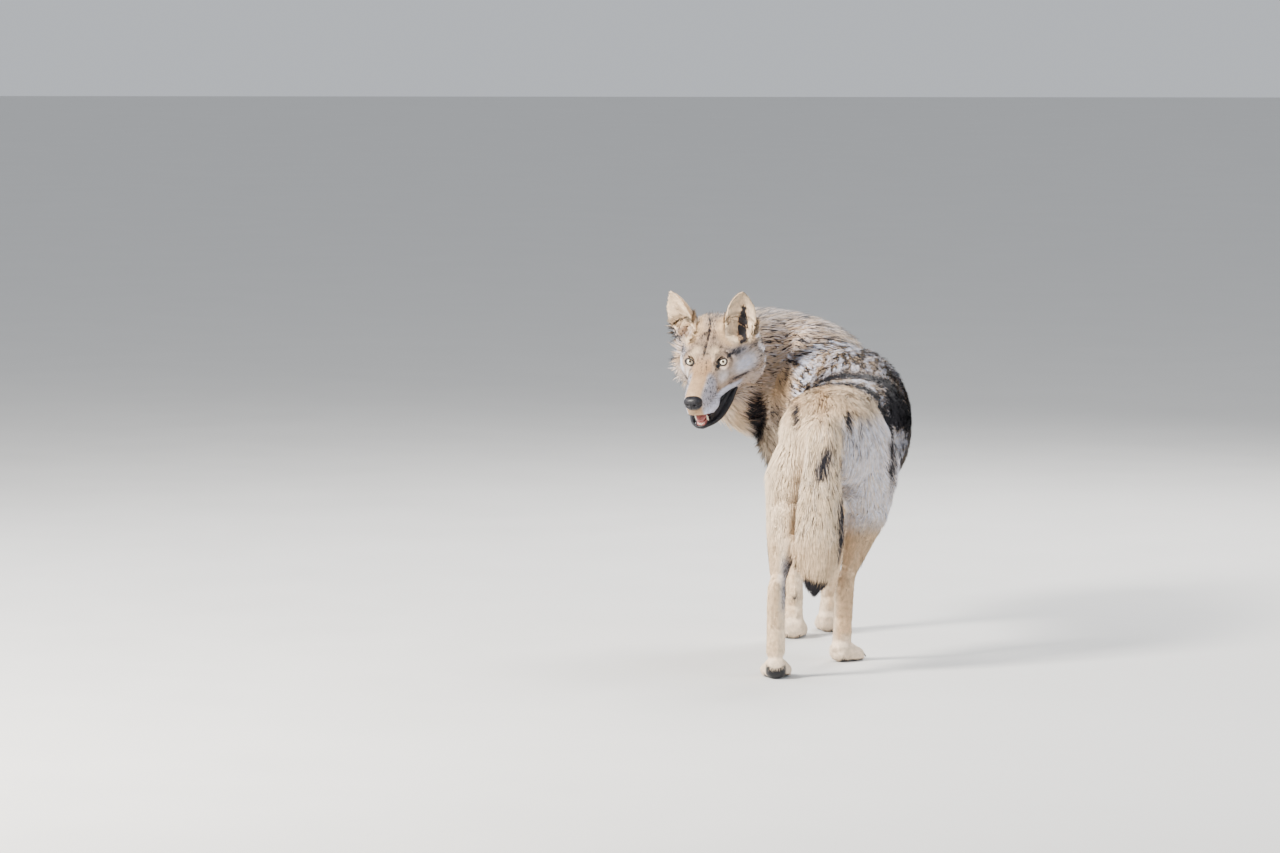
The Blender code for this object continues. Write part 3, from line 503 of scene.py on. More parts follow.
def body_marks(survey):
    """Saddle, rump, flanks, neck, tail and legs, by where they are on the wolf."""
    own = survey.own
    x, y, z = own.T
    drift = (wool(own, 0.05, 1) - 0.5) * 0.06 + (wool(own, (0.010, 0.05, 0.010), 2) - 0.5) * 0.05
    lock = 0.65 * wool(own, (0.006, 0.050, 0.006), 3) + 0.35 * wool(own, (0.016, 0.070, 0.016), 6)
    fine = wool(own, (0.006, 0.028, 0.006), 4)
    cloud = wool(own, 0.060, 5)
    high = step(z, 0.52, 0.64)
    trunk, neck, tail = (survey.is_part(part) for part in ("trunk", "neck", "tail"))
    fore_body = trunk | neck
    leg = survey.is_part(*LEGS)
    rear_left, rear_right, left_arm, _ = (survey.is_part(part) for part in LEGS)
    layers, cover = painter(0.40 + 0.5 * (lock - 0.5), 0.42 + 0.3 * (cloud - 0.5),
                            0.16 + 0.2 * fine, 0.15 + 0.15 * high)
    streak = step(lock, 0.42, 0.62)
    # shoulders: long white and blue-black streaks over sandy brown
    shoulders = step(y, -0.46, -0.54) * step(z, 0.54, 0.60) * trunk
    cover(shoulders, 0.66 * (1 - streak) + 0.06, 0.34, 0.30, 0.90 * streak)
    sandy = step(cloud, 0.52, 0.66) * shoulders
    cover(0.40 * sandy, 0.25 + 0.5 * step(fine, 0.6, 0.8), 0.75, 0.35, 0.10)
    # a black band over the loins, partly dark hair tips and partly painted shadow of the fold where
    # the shoulders' long fur overlaps the back, then grizzled grey down to a ragged black border
    tips_and_fold_shadow = spot(np.stack([y + 0.5 * drift], -1), (-0.452,), (0.036,)) * step(z, 0.50, 0.56) * trunk
    cover(tips_and_fold_shadow, 0.98, 0.1, 0.0, 0.35 * step(fine, 0.60, 0.80))
    grizzle = (step(y + 0.4 * drift, -0.425, -0.405) * step(y, -0.285, -0.31) * step(z, 0.50, 0.58)
               * trunk)
    cover(0.9 * grizzle, 0.19 + 0.45 * step(fine, 0.50, 0.70), 0.28, 0.34,
          0.75 * step(fine, 0.60, 0.40))
    border = spot(np.stack([y + drift], -1), (-0.318,), (0.022,)) * step(z, 0.53, 0.58) * trunk
    cover(border, 0.98, 0.2, 0.0, 0.0)
    # flanks: black above, a bluish white fringe below
    right_flank = (step(x, -0.160, -0.195) * step(z + 0.6 * drift, 0.535, 0.585)
                   * step(y, -0.27, -0.31) * trunk)
    ahead = step(y + drift, -0.44, -0.56)
    cover(right_flank * (1 - 0.4 * ahead), 0.92 - 0.50 * ahead + 0.15 * step(fine, 0.3, 0.5),
          0.45 * step(cloud, 0.5, 0.7) + 0.2 * ahead, 0.25 * ahead, 0.15 + 0.5 * ahead * streak)
    belly = step(z + 0.6 * drift, 0.560, 0.520) * trunk
    cover(belly, 0.10 * step(fine, 0.6, 0.8) + 0.12 * ahead, 0.06 + 0.30 * ahead, 0.80,
          0.75 - 0.55 * ahead)
    # neck and mane: olive grey-brown, finely ticked, paler along the top
    cover(1.0 * neck, 0.26 + 0.44 * step(fine, 0.50, 0.75), 0.50 + 0.3 * (cloud - 0.5), 0.30,
          0.10 + 0.20 * high * streak)
    # left side of the neck and shoulder: rust with dark streaks, greyer below
    left_side = (within(x, 0.025, 0.065, 0.118, 0.140) * step(y, -0.50, -0.56)
                 * step(z, 0.700, 0.670) * fore_body)
    jowl = step(x, 0.122, 0.142) * step(y, -0.50, -0.56) * step(z, 0.690, 0.660) * fore_body
    cover(0.85 * jowl, 0.16 + 0.30 * step(fine, 0.5, 0.75), 0.35, 0.60, 0.25)
    rust = step(cloud, 0.40, 0.62) * step(z, 0.54, 0.62)
    cover(left_side, 0.24 - 0.10 * rust + 0.40 * step(fine, 0.5, 0.72), 0.50 + 0.30 * rust, 0.40,
          0.15 * (1 - rust))
    low_left = left_side * step(z + 0.4 * drift, 0.545, 0.50)
    cover(low_left, 0.06 + 0.25 * step(fine, 0.6, 0.8), 0.40, 0.82, 0.10)
    # throat side: a dark band behind the jaw, partly dark hair and partly painted shadow that the
    # jaw and ruff cast on the neck, cream under it
    dark_hair_and_jaw_shadow = (within(x + 0.3 * drift, 0.118, 0.134, 0.158, 0.174) * step(z, 0.62, 0.59)
                 * fore_body)
    cover(0.9 * dark_hair_and_jaw_shadow, 0.85 + 0.2 * (fine - 0.5), 0.4, 0.0, 0.10)
    fore_throat = step(x, 0.165, 0.180) * step(z, 0.60, 0.575) * fore_body
    cover(0.9 * fore_throat, 0.08, 0.40, 0.66, 0.0)
    under = step(survey.of("neck", "round") ** 2, 5.0, 7.0) * neck * step(z, 0.60, 0.55)
    cover(0.8 * under, 0.10, 0.25, 0.75, 0.2)
    # rump and thighs: cream, ochre along the top, bluish white on the right
    behind = step(y + drift, -0.305, -0.265)
    rump = np.maximum(behind * trunk, rear_left | rear_right)
    top = step(z, 0.56, 0.64) * rump
    cover(rump, 0.05 + 0.25 * step(fine, 0.68, 0.84), 0.34 + 0.30 * (cloud - 0.5), 0.78, 0.04)
    ochre = np.maximum(spot(own[:, :1], (0.034,), (0.012,)), spot(own[:, :1], (-0.024,), (0.014,)))
    cover(top * (0.55 + 0.45 * ochre), 0.10 + 0.32 * step(fine, 0.55, 0.75), 0.90, 0.34, 0.0)
    cool = step(x + 0.3 * drift, -0.055, -0.085) * step(z, 0.62, 0.58) * rump
    cover(0.75 * cool, 0.10 + 0.45 * step(lock, 0.56, 0.74), 0.08, 0.62, 0.75)
    for place, size in (((0.034, -0.14, 0.615), (0.006, 0.06, 0.030)),
                        ((-0.084, -0.12, 0.600), (0.007, 0.06, 0.022))):
        cover(np.clip(1.3 * spot(own, place, size), 0, 1) * rump, 0.95, 0.3, 0.2, 0.1)
    line = (spot(np.stack([x, z], -1), (-0.186, 0.50), (0.008, 0.085)) * step(y, -0.40, -0.36)
            * (trunk | leg))
    cover(0.9 * line, 0.9, 0.2, 0.2, 0.3)
    # legs: ochre outside, white inside and on the paws
    shin = leg * step(z, 0.36, 0.30)
    middle_x = np.select([rear_left, rear_right, left_arm], [0.083, -0.075, 0.046], -0.044)
    inside = step((x - middle_x) * np.sign(middle_x), np.where(rear_right, -0.010, 0.002),
                  np.where(rear_right, -0.024, -0.012))
    cover(shin, 0.04 + 0.14 * step(fine, 0.6, 0.8) + 0.08 * rear_right,
          0.74 - 0.54 * inside + 0.3 * (cloud - 0.5),
          0.62 + 0.24 * inside - 0.22 * rear_right, 0.08 * inside)
    feet = leg * step(z + 0.3 * drift, 0.075, 0.035)
    cover(feet, 0.08, 0.30, 0.80, 0.12)
    front = np.cos(np.where(left_arm, survey.of("fore_left", "round"),
                            survey.of("fore_right", "round")))
    arm = 0.75 * (leg & ~rear_left & ~rear_right)
    cover(arm * step(front, 0.86, 0.97) * within(z, 0.08, 0.12, 0.26, 0.36), 0.8, 0.4, 0.1, 0.1)
    inner = rear_left * step(x, 0.078, 0.066) * within(z, 0.15, 0.19, 0.26, 0.30)
    cover(0.75 * inner, 0.75, 0.1, 0.3, 0.6)
    # tail
    s = survey.of("tail", "along")
    tick = step(fine, 0.58, 0.78) * step(s, 0.12, 0.30) * step(s, 0.82, 0.66)
    cover(1.0 * tail, 0.10 + 0.50 * tick, 0.30 + 0.3 * (cloud - 0.5), 0.74,
          0.12 * step(lock, 0.4, 0.7))
    cover(tail * step(s, 0.66, 0.78) * 0.9, 0.10, 0.66, 0.60, 0.0)
    right_edge = tail * step(x, -0.050, -0.066) * step(z, 0.46, 0.40) * step(s, 0.90, 0.84)
    cover(0.8 * right_edge, 0.9, 0.2, 0.1, 0.2)
    cover(tail * step(s + 0.5 * drift, 0.90, 0.96), 0.95, 0.3, 0.0, 0.0)
    gland = spot(np.stack([x + 0.30 * (z - 0.51), z], -1), (-0.026, 0.510), (0.013, 0.034))
    gland *= step(y, -0.12, -0.08)
    cover(np.clip(1.2 * gland, 0, 1) * (tail | trunk), 0.95, 0.1, 0.0, 0.20)
    return layers


def face_marks(survey):
    """Forehead, brows, muzzle, cheeks and ears, by where they are on the head."""
    head = survey.head
    f, l, u = head.T
    side = np.abs(l)
    mirrored = np.stack([f, side, u], -1)
    fine = wool(survey.own, 0.0055, 10)
    lock = wool(survey.own, (0.010, 0.016, 0.010), 11)
    cloud = wool(survey.own, 0.022, 12)
    layers, cover = painter(0.46 + 0.5 * (fine - 0.5), 0.44 + 0.2 * (cloud - 0.5),
                            0.12 + 0.2 * lock, np.full(len(f), 0.08))

    def patch(place, size, strength=1.0):
        return np.clip(strength * spot(mirrored, place, size), 0, 1)

    bridge = step(f, -0.010, 0.020) * step(side, 0.026, 0.014)
    cover(bridge, 0.36 + 0.22 * step(fine, 0.45, 0.7) * step(f, 0.06, 0.03), 0.60, 0.14, 0.0)
    cover(bridge * step(f, 0.045, 0.070), 0.30, 0.56, 0.22, 0.0)
    tan_line = spot(side[:, None], (0.020,), (0.006,)) * within(f, -0.002, 0.012, 0.035, 0.060)
    cover(0.8 * tan_line, 0.40, 0.85, 0.15, 0.0)
    flank = step(f, 0.030, 0.050) * step(side, 0.016, 0.026)
    cover(flank, 0.48 + 0.35 * (fine - 0.5), 0.14, 0.16, 0.60)
    flews = (step(f, -0.045, -0.030) * step(u, -0.056, -0.066) * step(side, 0.018, 0.026)
             * step(u, -0.110, -0.105))
    cover(flews, 0.16 + 0.25 * step(fine, 0.62, 0.8), 0.0, 0.10, 0.95)
    # brow, under the eye, behind it, temple, cheek, and the line under the cheek
    for place, size, strength, *goal in (
            ((-0.016, 0.024, 0.021), (0.014, 0.011, 0.011), 1.3, 0.10, 0.35, 0.72, 0.0),
            ((0.010, 0.042, -0.028), (0.020, 0.013, 0.015), 1.3, 0.10, 0.12, 0.70, 0.50),
            ((-0.020, 0.062, -0.014), (0.012, 0.010, 0.014), 1.1, 0.25, 0.70, 0.30, 0.0),
            ((-0.054, 0.074, 0.014), (0.026, 0.022, 0.015), 1.3, 1.0 - 0.5 * lock, 0.10, 0.08,
             0.50),
            ((-0.050, 0.080, -0.026), (0.036, 0.026, 0.020), 1.4, 0.06, 0.02, 0.80, 0.80),
            ((-0.028, 0.070, -0.050), (0.034, 0.022, 0.005), 1.0, 0.75, 0.15, 0.05, 0.2)):
        cover(patch(place, size, strength), *goal)
    cheek_low = step(f, -0.02, -0.05) * step(u, -0.052, -0.064)
    cover(0.8 * cheek_low, 0.20 + 0.25 * step(lock, 0.5, 0.7), 0.40, 0.50, 0.30)
    ruff = step(f, -0.085, -0.115) * step(side, 0.05, 0.08)
    streak = step(lock, 0.42, 0.58)
    cover(0.9 * ruff, 0.50 * (1 - streak) + 0.05, 0.25, 0.20 + 0.30 * streak, 0.70 * streak)
    furrow = step(side, 0.0045, 0.0015) * step(u, 0.018, 0.026) * step(f, -0.110, -0.090)
    cover(0.75 * furrow * step(lock, 0.25, 0.5), 0.85, 0.3, 0.0, 0.0)
    cover(1.2 * patch((0.006, 0.031, -0.006), (0.009, 0.006, 0.006), 0.8), 0.95, 0.1, 0.0, 0.0)
    cover(patch((-0.020, 0.064, 0.012), (0.014, 0.010, 0.004), 1.2), 1.05, 0.1, 0.0, 0.0)
    chin = step(u, -0.118, -0.126) * step(f, -0.05, -0.03)
    cover(np.maximum(chin, throat(head)) * 0.9, 0.05, 0.25, 0.90, 0.05)
    _, front, out, high = in_ear(head)
    root = (step(np.hypot(front - 0.01, out), 0.056, 0.042) * step(high, -0.034, -0.018)
            * step(high, 0.10, 0.08))
    cover(root, 0.10 + 0.15 * (fine - 0.5), 0.66, 0.42, 0.0)
    ear = ear_height(head)
    is_ear = step(ear, 0.02, 0.10)
    cover(is_ear, 0.14 + 0.25 * step(ear, 0.80, 1.0) + 0.25 * (fine - 0.5), 0.90 - 0.15 * ear,
          0.28, 0.0)
    cover(patch((-0.090, 0.050, 0.046), (0.022, 0.016, 0.014), 1.2), 0.18, 0.75, 0.35, 0.0)
    return layers


def inner_ear(survey, normal):
    """Where the skin faces into the cup of an ear, and the deep groove along its middle, darkened
    with painted shade, fainter in the right ear.
    """
    head = survey.head
    reach, front, out, high = in_ear(head)
    left = head[:, 1] > 0
    facing = np.where(left, *(normal @ (ear_axes(side)[1] @ HEAD_AXES)[0] for side in (1, -1)))
    near = (np.abs(out) < EAR_REACH[1]) & (np.abs(front) < EAR_REACH[0]) & (high < 0.110)
    near &= survey.is_part("head")
    wall = step(high, 0.006, 0.016) * step(facing, 0.0, 0.35)
    bowl = step(reach, 1.00, 0.86) * step(high, -0.026, -0.020)
    cup = np.maximum(wall, bowl) * near
    ragged = 0.008 * (wool(survey.own, (0.003, 0.003, 0.012), 14) - 0.5)
    half = 0.0030 + 0.0050 * step(high, 0.060, 0.0)
    # painted shade in the deep groove of the ear's cup, weaker in the right ear
    groove_shade = (step(np.abs(out - 0.011) + ragged - half, 0.0045, -0.0020)
            * step(high + ragged, 0.070, 0.045))
    return cup, groove_shade * cup * np.where(left, 1.0, 0.45)


def bare_skin(survey, normal):
    """Bare black skin (lips, lid rims, pads, soles, and the sides of the open mouth, black partly
    as painted shade) and bare pink skin (inside the mouth).
    """
    head, own = survey.head, survey.own
    is_head = survey.is_part("head")
    gap = mouth_gap(head)
    # the inside of the mouth is black at its sides, standing partly for the shade in the open mouth
    lips = step(gap, 0.0050, 0.0025) * is_head
    inside = step(gap, 0.001, -0.001) * is_head
    pink = inside * step(np.abs(head[:, 1]), 0.022, 0.012) * step(head[:, 2], -0.088, -0.096) * 0.8
    black = np.maximum(lips, eye_shadow(head))
    rim = spot(head, (0.118, 0, -0.041), (0.014, 0.0235, 0.020))
    black = np.maximum(black, step(rim, 0.30, 0.50))
    # the side of the lower jaw is black up to its top: partly its black lip, partly painted shade
    # of the open mouth
    low = -0.1215 - 0.0075 * step(head[:, 0], 0.0, 0.05)
    jaw = is_head * step(head[:, 0], -0.036, -0.026) * step(head[:, 2], low - 0.001, low + 0.003)
    jaw_top = np.interp(head[:, 0], *JAW_TOP)
    black = np.maximum(black, jaw * step(head[:, 2], jaw_top + 0.004, jaw_top))
    sole = step(own[:, 2], 0.007, 0.003) * step(normal[:, 2], -0.4, -0.7)
    black = np.maximum(black, sole)
    for name, (x, y, turn, *_) in PAWS.items():
        c, s = math.cos(turn), math.sin(turn)
        aside, behind = own[:, 0] - x, own[:, 1] - y
        across, back = aside * c + behind * s, behind * c - aside * s
        top, half = (0.035, 0.026) if name == "hind_left" else (0.013, 0.020)
        edge = top - 0.006 * np.cos(across / half * 2.2)
        pad = step(own[:, 2], edge, edge - 0.003) * step(np.abs(across), half, half - 0.004)
        black = np.maximum(black, pad * step(back, 0.0, 0.006))
        if name == "fore_left":
            wrist = np.array(LEGS[name][3][:3]) + np.array((0, 0.030, -0.022))
            black = np.maximum(black, step(spot(own, wrist, (0.009, 0.010, 0.011)), 0.3, 0.5))
    graze = spot(own, (-0.183, -0.330, 0.400), (0.010, 0.02, 0.018))
    return np.clip(black, 0, 1), np.clip(np.maximum(pink, 0.75 * step(graze, 0.35, 0.7)), 0, 1)


def marks(survey, normal):
    """Four strengths for each point (black tips, tan, pale, silver) and two of bare skin."""
    blend = 1.0 * survey.is_part("head") * step(survey.of("head", "along"), 0.98, 0.90)
    strengths = list(body_marks(survey) * (1 - blend) + face_marks(survey) * blend)
    cup, hollow = inner_ear(survey, normal)
    # the cup of each ear is pale cream, and its deep groove takes a painted shade of dark brown
    for row, (wall, groove_shade) in enumerate(((0.02, 0.90), (0.26, 0.6), (0.90, 0.0), (0.05, 0.0))):
        strengths[row] = strengths[row] * (1 - cup) + cup * wall
        strengths[row] = strengths[row] * (1 - hollow) + hollow * groove_shade
    black, pink = bare_skin(survey, normal)
    return np.clip(np.stack(strengths, -1), 0, 1.3), black, pink


# ---------------------------------------------------------------------------------------------
# Meshes.

def build_mesh(name, points, corners, starts):
    """A mesh from points, the corners of all faces in a row, and where in it each face starts."""
    mesh = bpy.data.meshes.new(name)
    mesh.vertices.add(len(points))
    mesh.vertices.foreach_set("co", np.asarray(points, np.float32).ravel())
    mesh.loops.add(len(corners))
    mesh.loops.foreach_set("vertex_index", np.asarray(corners, np.int32))
    mesh.polygons.add(len(starts))
    mesh.polygons.foreach_set("loop_start", np.asarray(starts, np.int32))
    mesh.polygons.foreach_set("use_smooth", np.ones(len(starts), bool))
    mesh.update(calc_edges=True)
    return mesh


def put_in_scene(name, mesh, material):
    """An object of a mesh in one material."""
    obj = bpy.data.objects.new(name, mesh)
    bpy.context.scene.collection.objects.link(obj)
    mesh.materials.append(material)
    return obj


def mount(obj, slot, *replaced):
    """Fixes a piece to the body and hides the nodes that it replaces; its slot is not used."""
    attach(obj, "root")
    if replaced:
        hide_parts(*replaced)


def add_rings(name, grids, material, slot, *replaced):
    """A piece of closed tubes, given in the head's measure."""
    mesh = rings_mesh(name, [from_head(grid) for grid in grids])
    mount(put_in_scene(name, mesh, material), slot, *replaced)


def tube_faces(rows, sides):
    """Quads between neighbouring rings and fans to the two middle points that follow the rings."""
    i, j = np.meshgrid(np.arange(rows - 1), np.arange(sides), indexing="ij")
    k = (j + 1) % sides
    quads = np.stack([i * sides + j, (i + 1) * sides + j, (i + 1) * sides + k, i * sides + k],
                     -1).reshape(-1, 4)
    j = np.arange(sides)
    k = (j + 1) % sides
    first, last = rows * sides, rows * sides + 1
    start = np.stack([np.full(sides, first), j, k], -1)
    end = np.stack([np.full(sides, last), (rows - 1) * sides + k, (rows - 1) * sides + j], -1)
    return quads, np.vstack([start, end])


def rings_mesh(name, grids):
    """One mesh of closed tubes: each grid is (rings, points round a ring, 3)."""
    points, corners, starts, base, at = [], [], [], 0, 0
    for grid in grids:
        rows, sides = grid.shape[:2]
        body = np.vstack([grid.reshape(-1, 3), grid[0].mean(0)[None], grid[-1].mean(0)[None]])
        quads, fans = tube_faces(rows, sides)
        corners += [quads.ravel() + base, fans.ravel() + base]
        starts += [at + np.arange(len(quads)) * 4, at + len(quads) * 4 + np.arange(len(fans)) * 3]
        at += quads.size + fans.size
        base += len(body)
        points.append(body)
    mesh = build_mesh(name, np.vstack(points), np.concatenate(corners), np.concatenate(starts))
    turn_outwards(mesh)
    return mesh


def turn_outwards(mesh):
    """Turns all faces over if the mesh's signed volume says that they face inwards."""
    points, tris, _ = mesh_arrays(mesh)
    a, b, c = points[tris].transpose(1, 0, 2)
    if (a * np.cross(b, c)).sum() < 0:
        mesh.flip_normals()


def swept(path, sides, shape):
    """Rings carried along a path of rows (ahead, left, up, half width, half height).

    A ring is an ellipse with its cosine and sine to the power 2 over the shape.
    """
    rows = smooth_path(path, 5)
    along = unit(np.gradient(rows[:, :3], axis=0))
    up = np.array((0.0, 0.0, 1.0))
    up = unit(up - (along @ up)[:, None] * along)
    across = np.cross(along, up)
    turn = np.linspace(0, 2 * math.pi, sides, endpoint=False)
    c = np.sign(np.cos(turn)) * np.abs(np.cos(turn)) ** (2 / shape)
    s = np.sign(np.sin(turn)) * np.abs(np.sin(turn)) ** (2 / shape)
    return (rows[:, None, :3] + across[:, None] * (rows[:, 3:4] * c)[..., None]
            + up[:, None] * (rows[:, 4:5] * s)[..., None])


def set_colours(mesh, name, values):
    """Four values for each point, kept with the mesh for its material."""
    layer = mesh.attributes.new(name, "FLOAT_COLOR", "POINT")
    layer.data.foreach_set("color", np.ascontiguousarray(values, np.float32).ravel())


# ---------------------------------------------------------------------------------------------
# The skin.

FLESH = ["trunk", "neck", "head", "jaw", "ear_left", "ear_right", "nose", "tail"]
FLESH += [kind + "leg_" + side for kind in ("fore", "hind") for side in ("left", "right")]
FLESH += ["paw_" + name for name in PAWS]


def welded(node):
    """A node's points, with doubles made one, its triangles, and its normals by face area."""
    points, tris, _ = mesh_arrays(NODES[node].data)
    _, first, same = np.unique(np.round(points * 1e6).astype(np.int64), axis=0,
                               return_index=True, return_inverse=True)
    points, tris = points[first], same.ravel()[tris]
    return points, tris, vertex_normals(points, tris)


def vertex_normals(points, tris):
    """Each point's normal: the sum of its triangles' normals by their areas."""
    a, b, c = points[tris].transpose(1, 0, 2)
    face = np.cross(b - a, c - a)
    total = [sum(np.bincount(tris[:, k], face[:, axis], len(points)) for k in range(3))
             for axis in range(3)]
    return unit(np.stack(total, -1))


def settled(obj):
    """An object's mesh after its modifiers; the object goes."""
    graph = bpy.context.evaluated_depsgraph_get()
    mesh = bpy.data.meshes.new_from_object(obj.evaluated_get(graph))
    bpy.data.objects.remove(obj)
    return mesh


def relax(points, edges, weight, rounds):
    """In each round a point moves towards the middle of its neighbours by its weight."""
    a, b = edges.T
    count = len(points)
    degree = np.maximum(np.bincount(a, minlength=count) + np.bincount(b, minlength=count), 1)
    for _ in range(rounds):
        total = np.stack([np.bincount(a, points[b, k], count) + np.bincount(b, points[a, k], count)
                          for k in range(3)], -1)
        points = points + weight[:, None] * (total / degree[:, None] - points)
    return points


def face_relief(head):
    """Folds of the face, as soft spots: brows, whisker pads and cheeks rise, the rest sinks."""
    side = np.stack([head[:, 0], np.abs(head[:, 1]), head[:, 2]], -1)
    return sum(rise * spot(side, place, size) for rise, place, size in (
        (0.0022, (-0.004, 0.034, 0.016), (0.012, 0.014, 0.006)),
        (0.0024, (0.088, 0.020, -0.056), (0.022, 0.010, 0.010)),
        (0.0015, (-0.012, 0.056, -0.030), (0.022, 0.014, 0.010)),
        (-0.0022, (0.012, 0.028, -0.004), (0.012, 0.008, 0.008)),
        (-0.0020, (-0.055, 0.0, 0.042), (0.035, 0.005, 0.020))))


def broader_ear(points):
    """An ear stretched away from the line from its root to its tip: by up to .30 on its outer
    side, less towards the tip, and by .04 on its inner side."""
    head = to_head(points)
    side = np.sign(head[:, 1])
    height = head[:, 2] - EAR_ROOT[2]
    out = np.abs(head[:, 1]) - EAR_ROOT[1] - 0.29 * height
    stretch = np.where(out > 0, 0.30 * step(height, 0.105, 0.050), 0.04)
    head[:, 1] += side * out * stretch
    return from_head(head)


def ear_leaf(side):
    """One ear: arcs rolled less towards the tip, with an inner and an outer face."""
    rise = np.linspace(0, 1, 34) ** 0.9 * 0.985
    roll, radius, middle_at = ear_arc(rise)
    sweep = np.linspace(-1, 1, 21)
    angle = roll[:, None] * sweep
    thick = 0.0088 * (1 - 0.40 * rise)[:, None] * (1 - 0.30 * sweep ** 4)
    faces = []
    for way in (0.36, -0.64):
        r = np.maximum(radius[:, None] + way * thick, 0.0012)
        faces.append(np.stack([middle_at[:, None] - r * np.cos(angle), r * np.sin(angle),
                               np.repeat(EAR_LEAF * rise[:, None] - EAR_SUNK, len(sweep), 1)], -1))
    loop = np.concatenate([faces[0], faces[1][:, ::-1]], axis=1)
    root, axes = ear_axes(side)
    points, tris, _ = mesh_arrays(rings_mesh("ear_leaf", [from_head(loop @ axes + root)]))
    return broader_ear(points), tris


def hollow_ears(points, normals):
    """Skin that faces forward or up between the rims of each ear is sunk to a bowl at its root."""
    for side in (1, -1):
        root, axes = ear_axes(side)
        x, y, z = ((to_head(points) - root) @ axes.T).T
        y = np.where(y * side > 0, y / EAR_BROAD[0], y / EAR_BROAD[1])
        reach = np.hypot(x - 0.020, y) / 0.0262
        notch = step(np.abs(y), 0.019, 0.010) * step(x, 0.016, 0.026) * step(x, 0.066, 0.046)
        faces = normals @ (axes @ HEAD_AXES).T
        open_side = step(np.maximum(faces[:, 0], faces[:, 2]), 0.0, 0.3)
        inside = (np.maximum(step(reach, 1.0, 0.80), notch) * step(z, 0.040, 0.024) * (z > -0.03)
                  * open_side)
        drop = np.maximum(z + 0.017 - 0.006 * np.minimum(reach, 2.0) ** 2, 0) * inside
        points = points - (axes[2] @ HEAD_AXES) * drop[:, None]
    return points


def hang_lips(points):
    """The rim of the upper lip is drawn down over the side of the mouth and under the nose."""
    f, l, u = to_head(points).T
    half = np.interp(f, *MOUTH_HALF)
    front = step(f, 0.099, 0.108)
    rim = np.maximum(step(np.abs(l), 0.60 * half, 0.82 * half), front)
    low = step(u, -0.042 + 0.002 * front, -0.064 + 0.003 * front) * (u > LIP_LEVEL - 0.005)
    low = low * (f > MOUTH_CORNER) * (f < 0.14) * (np.abs(l) < MOUTH_SIDE)
    flare = 0.0040 * np.sign(l) * within(f, -0.01, 0.02, 0.08, 0.10)
    drop = np.interp(f, *LIP_DROP)
    moves = HEAD_AXES[1] * flare[:, None] - HEAD_AXES[2] * drop[:, None]
    return points + moves * (rim * low)[:, None]


def set_sockets(points):
    """Skin near each eye is drawn to a shallow dish round the eyeball, square to its opening."""
    for side in (1, -1):
        out = socket_axes(side)[0]
        away = points - from_head(eye_at(side))
        h = away @ out
        rho = np.linalg.norm(away - h[:, None] * out, axis=1)
        ball = np.sqrt(np.maximum(EYE_RADIUS ** 2 - rho ** 2, 0.0))
        opening = 0.0095
        dish = np.where(rho < opening, ball - 0.0015, 0.0070 + 0.10 * (rho - opening))
        pull = step(rho, 0.024, 0.013) * (h > -0.014) * (h < 0.03)
        points = points + out * ((dish - h) * pull)[:, None]
    return points


def cast_skin():
    """The flesh nodes cast as one closed mesh, smoothed, and drawn in by the depth of the coat."""
    points, tris, base = [], [], 0
    for node in FLESH:
        p, t, n = welded(node)
        if node.startswith("ear"):
            p, t = ear_leaf(1 if node.endswith("left") else -1)
            n = np.zeros_like(p)
        points.append(p + 0.0004 * n)
        tris.append(t + base)
        base += len(p)
    points, tris = np.vstack(points), np.vstack(tris)
    cast = put_in_scene("cast", build_mesh("cast", points, tris.ravel(), np.arange(len(tris)) * 3),
                        bpy.data.materials.new("cast"))
    fuse = cast.modifiers.new("fuse", "REMESH")
    fuse.mode = "VOXEL"
    fuse.voxel_size = SKIN_CELL
    mesh = settled(cast)
    points, tris, edges = mesh_arrays(mesh)
    own, head = points - SHIFT, to_head(points)
    fine = step(head[:, 0], -0.17, -0.06) * (np.linalg.norm(head * (1, 1, 0.8), axis=1) < 0.24)
    fine = np.maximum(fine, step(own[:, 2], 0.085, 0.060))
    lip = np.minimum(np.abs(head[:, 2] - LIP_LEVEL),
                     np.abs(head[:, 2] - np.interp(head[:, 0], *JAW_TOP)))
    thin = np.maximum(0.6 * step(ear_height(head), 0.0, 0.1),
                      step(lip, 0.012, 0.004) * (head[:, 0] > -0.05))
    rounds = int(round(10 * (0.0025 / SKIN_CELL) ** 2)) + 1
    points = relax(points, edges, 0.5 * (1 - 0.75 * thin), rounds)
    broad = 0.55 * (1 - fine) * step(own[:, 2], 0.02, 0.16)
    for _ in range(rounds * 2):
        points = relax(relax(points, edges, broad, 1), edges, -1.03 * broad, 1)
    points = hang_lips(hollow_ears(points, vertex_normals(points, tris)))
    reach, _, _, high = in_ear(to_head(points))
    bowl = step(reach, 1.7, 1.35) * step(high, -0.040, -0.030) * step(high, 0.055, 0.035)
    points = relax(points, edges, 0.7 * bowl, rounds * 2)
    survey = Survey(points)
    normals = vertex_normals(points, tris)
    moves = normals * (-coat_depth(survey))[:, None]
    points = points + relax(moves, edges, 0.8 * (1 - np.maximum(fine, thin)), rounds * 5)
    points = points + normals * (face_relief(head) * step(head[:, 0], -0.15, -0.1))[:, None]
    points = set_sockets(points)
    points = relax(points, edges, 0.4 * (1 - 0.9 * np.maximum(thin, fine)), 6)
    mesh.vertices.foreach_set("co", points.ravel())
    mesh.update()
    cast = put_in_scene("cast", mesh, bpy.data.materials["cast"])
    keep = cast.vertex_groups.new(name="spare")
    spare = np.round((1 - 0.85 * fine) * 10).astype(int)
    for tenth in range(1, 11):
        chosen = np.nonzero(spare == tenth)[0]
        keep.add(chosen.tolist(), tenth / 10, "REPLACE")
    slim = cast.modifiers.new("slim", "DECIMATE")
    slim.ratio = min(1.0, SKIN_TRIANGLES / len(tris))
    slim.vertex_group = "spare"
    slim.vertex_group_factor = 0.25
    slim.use_collapse_triangulate = True
    return settled(cast)


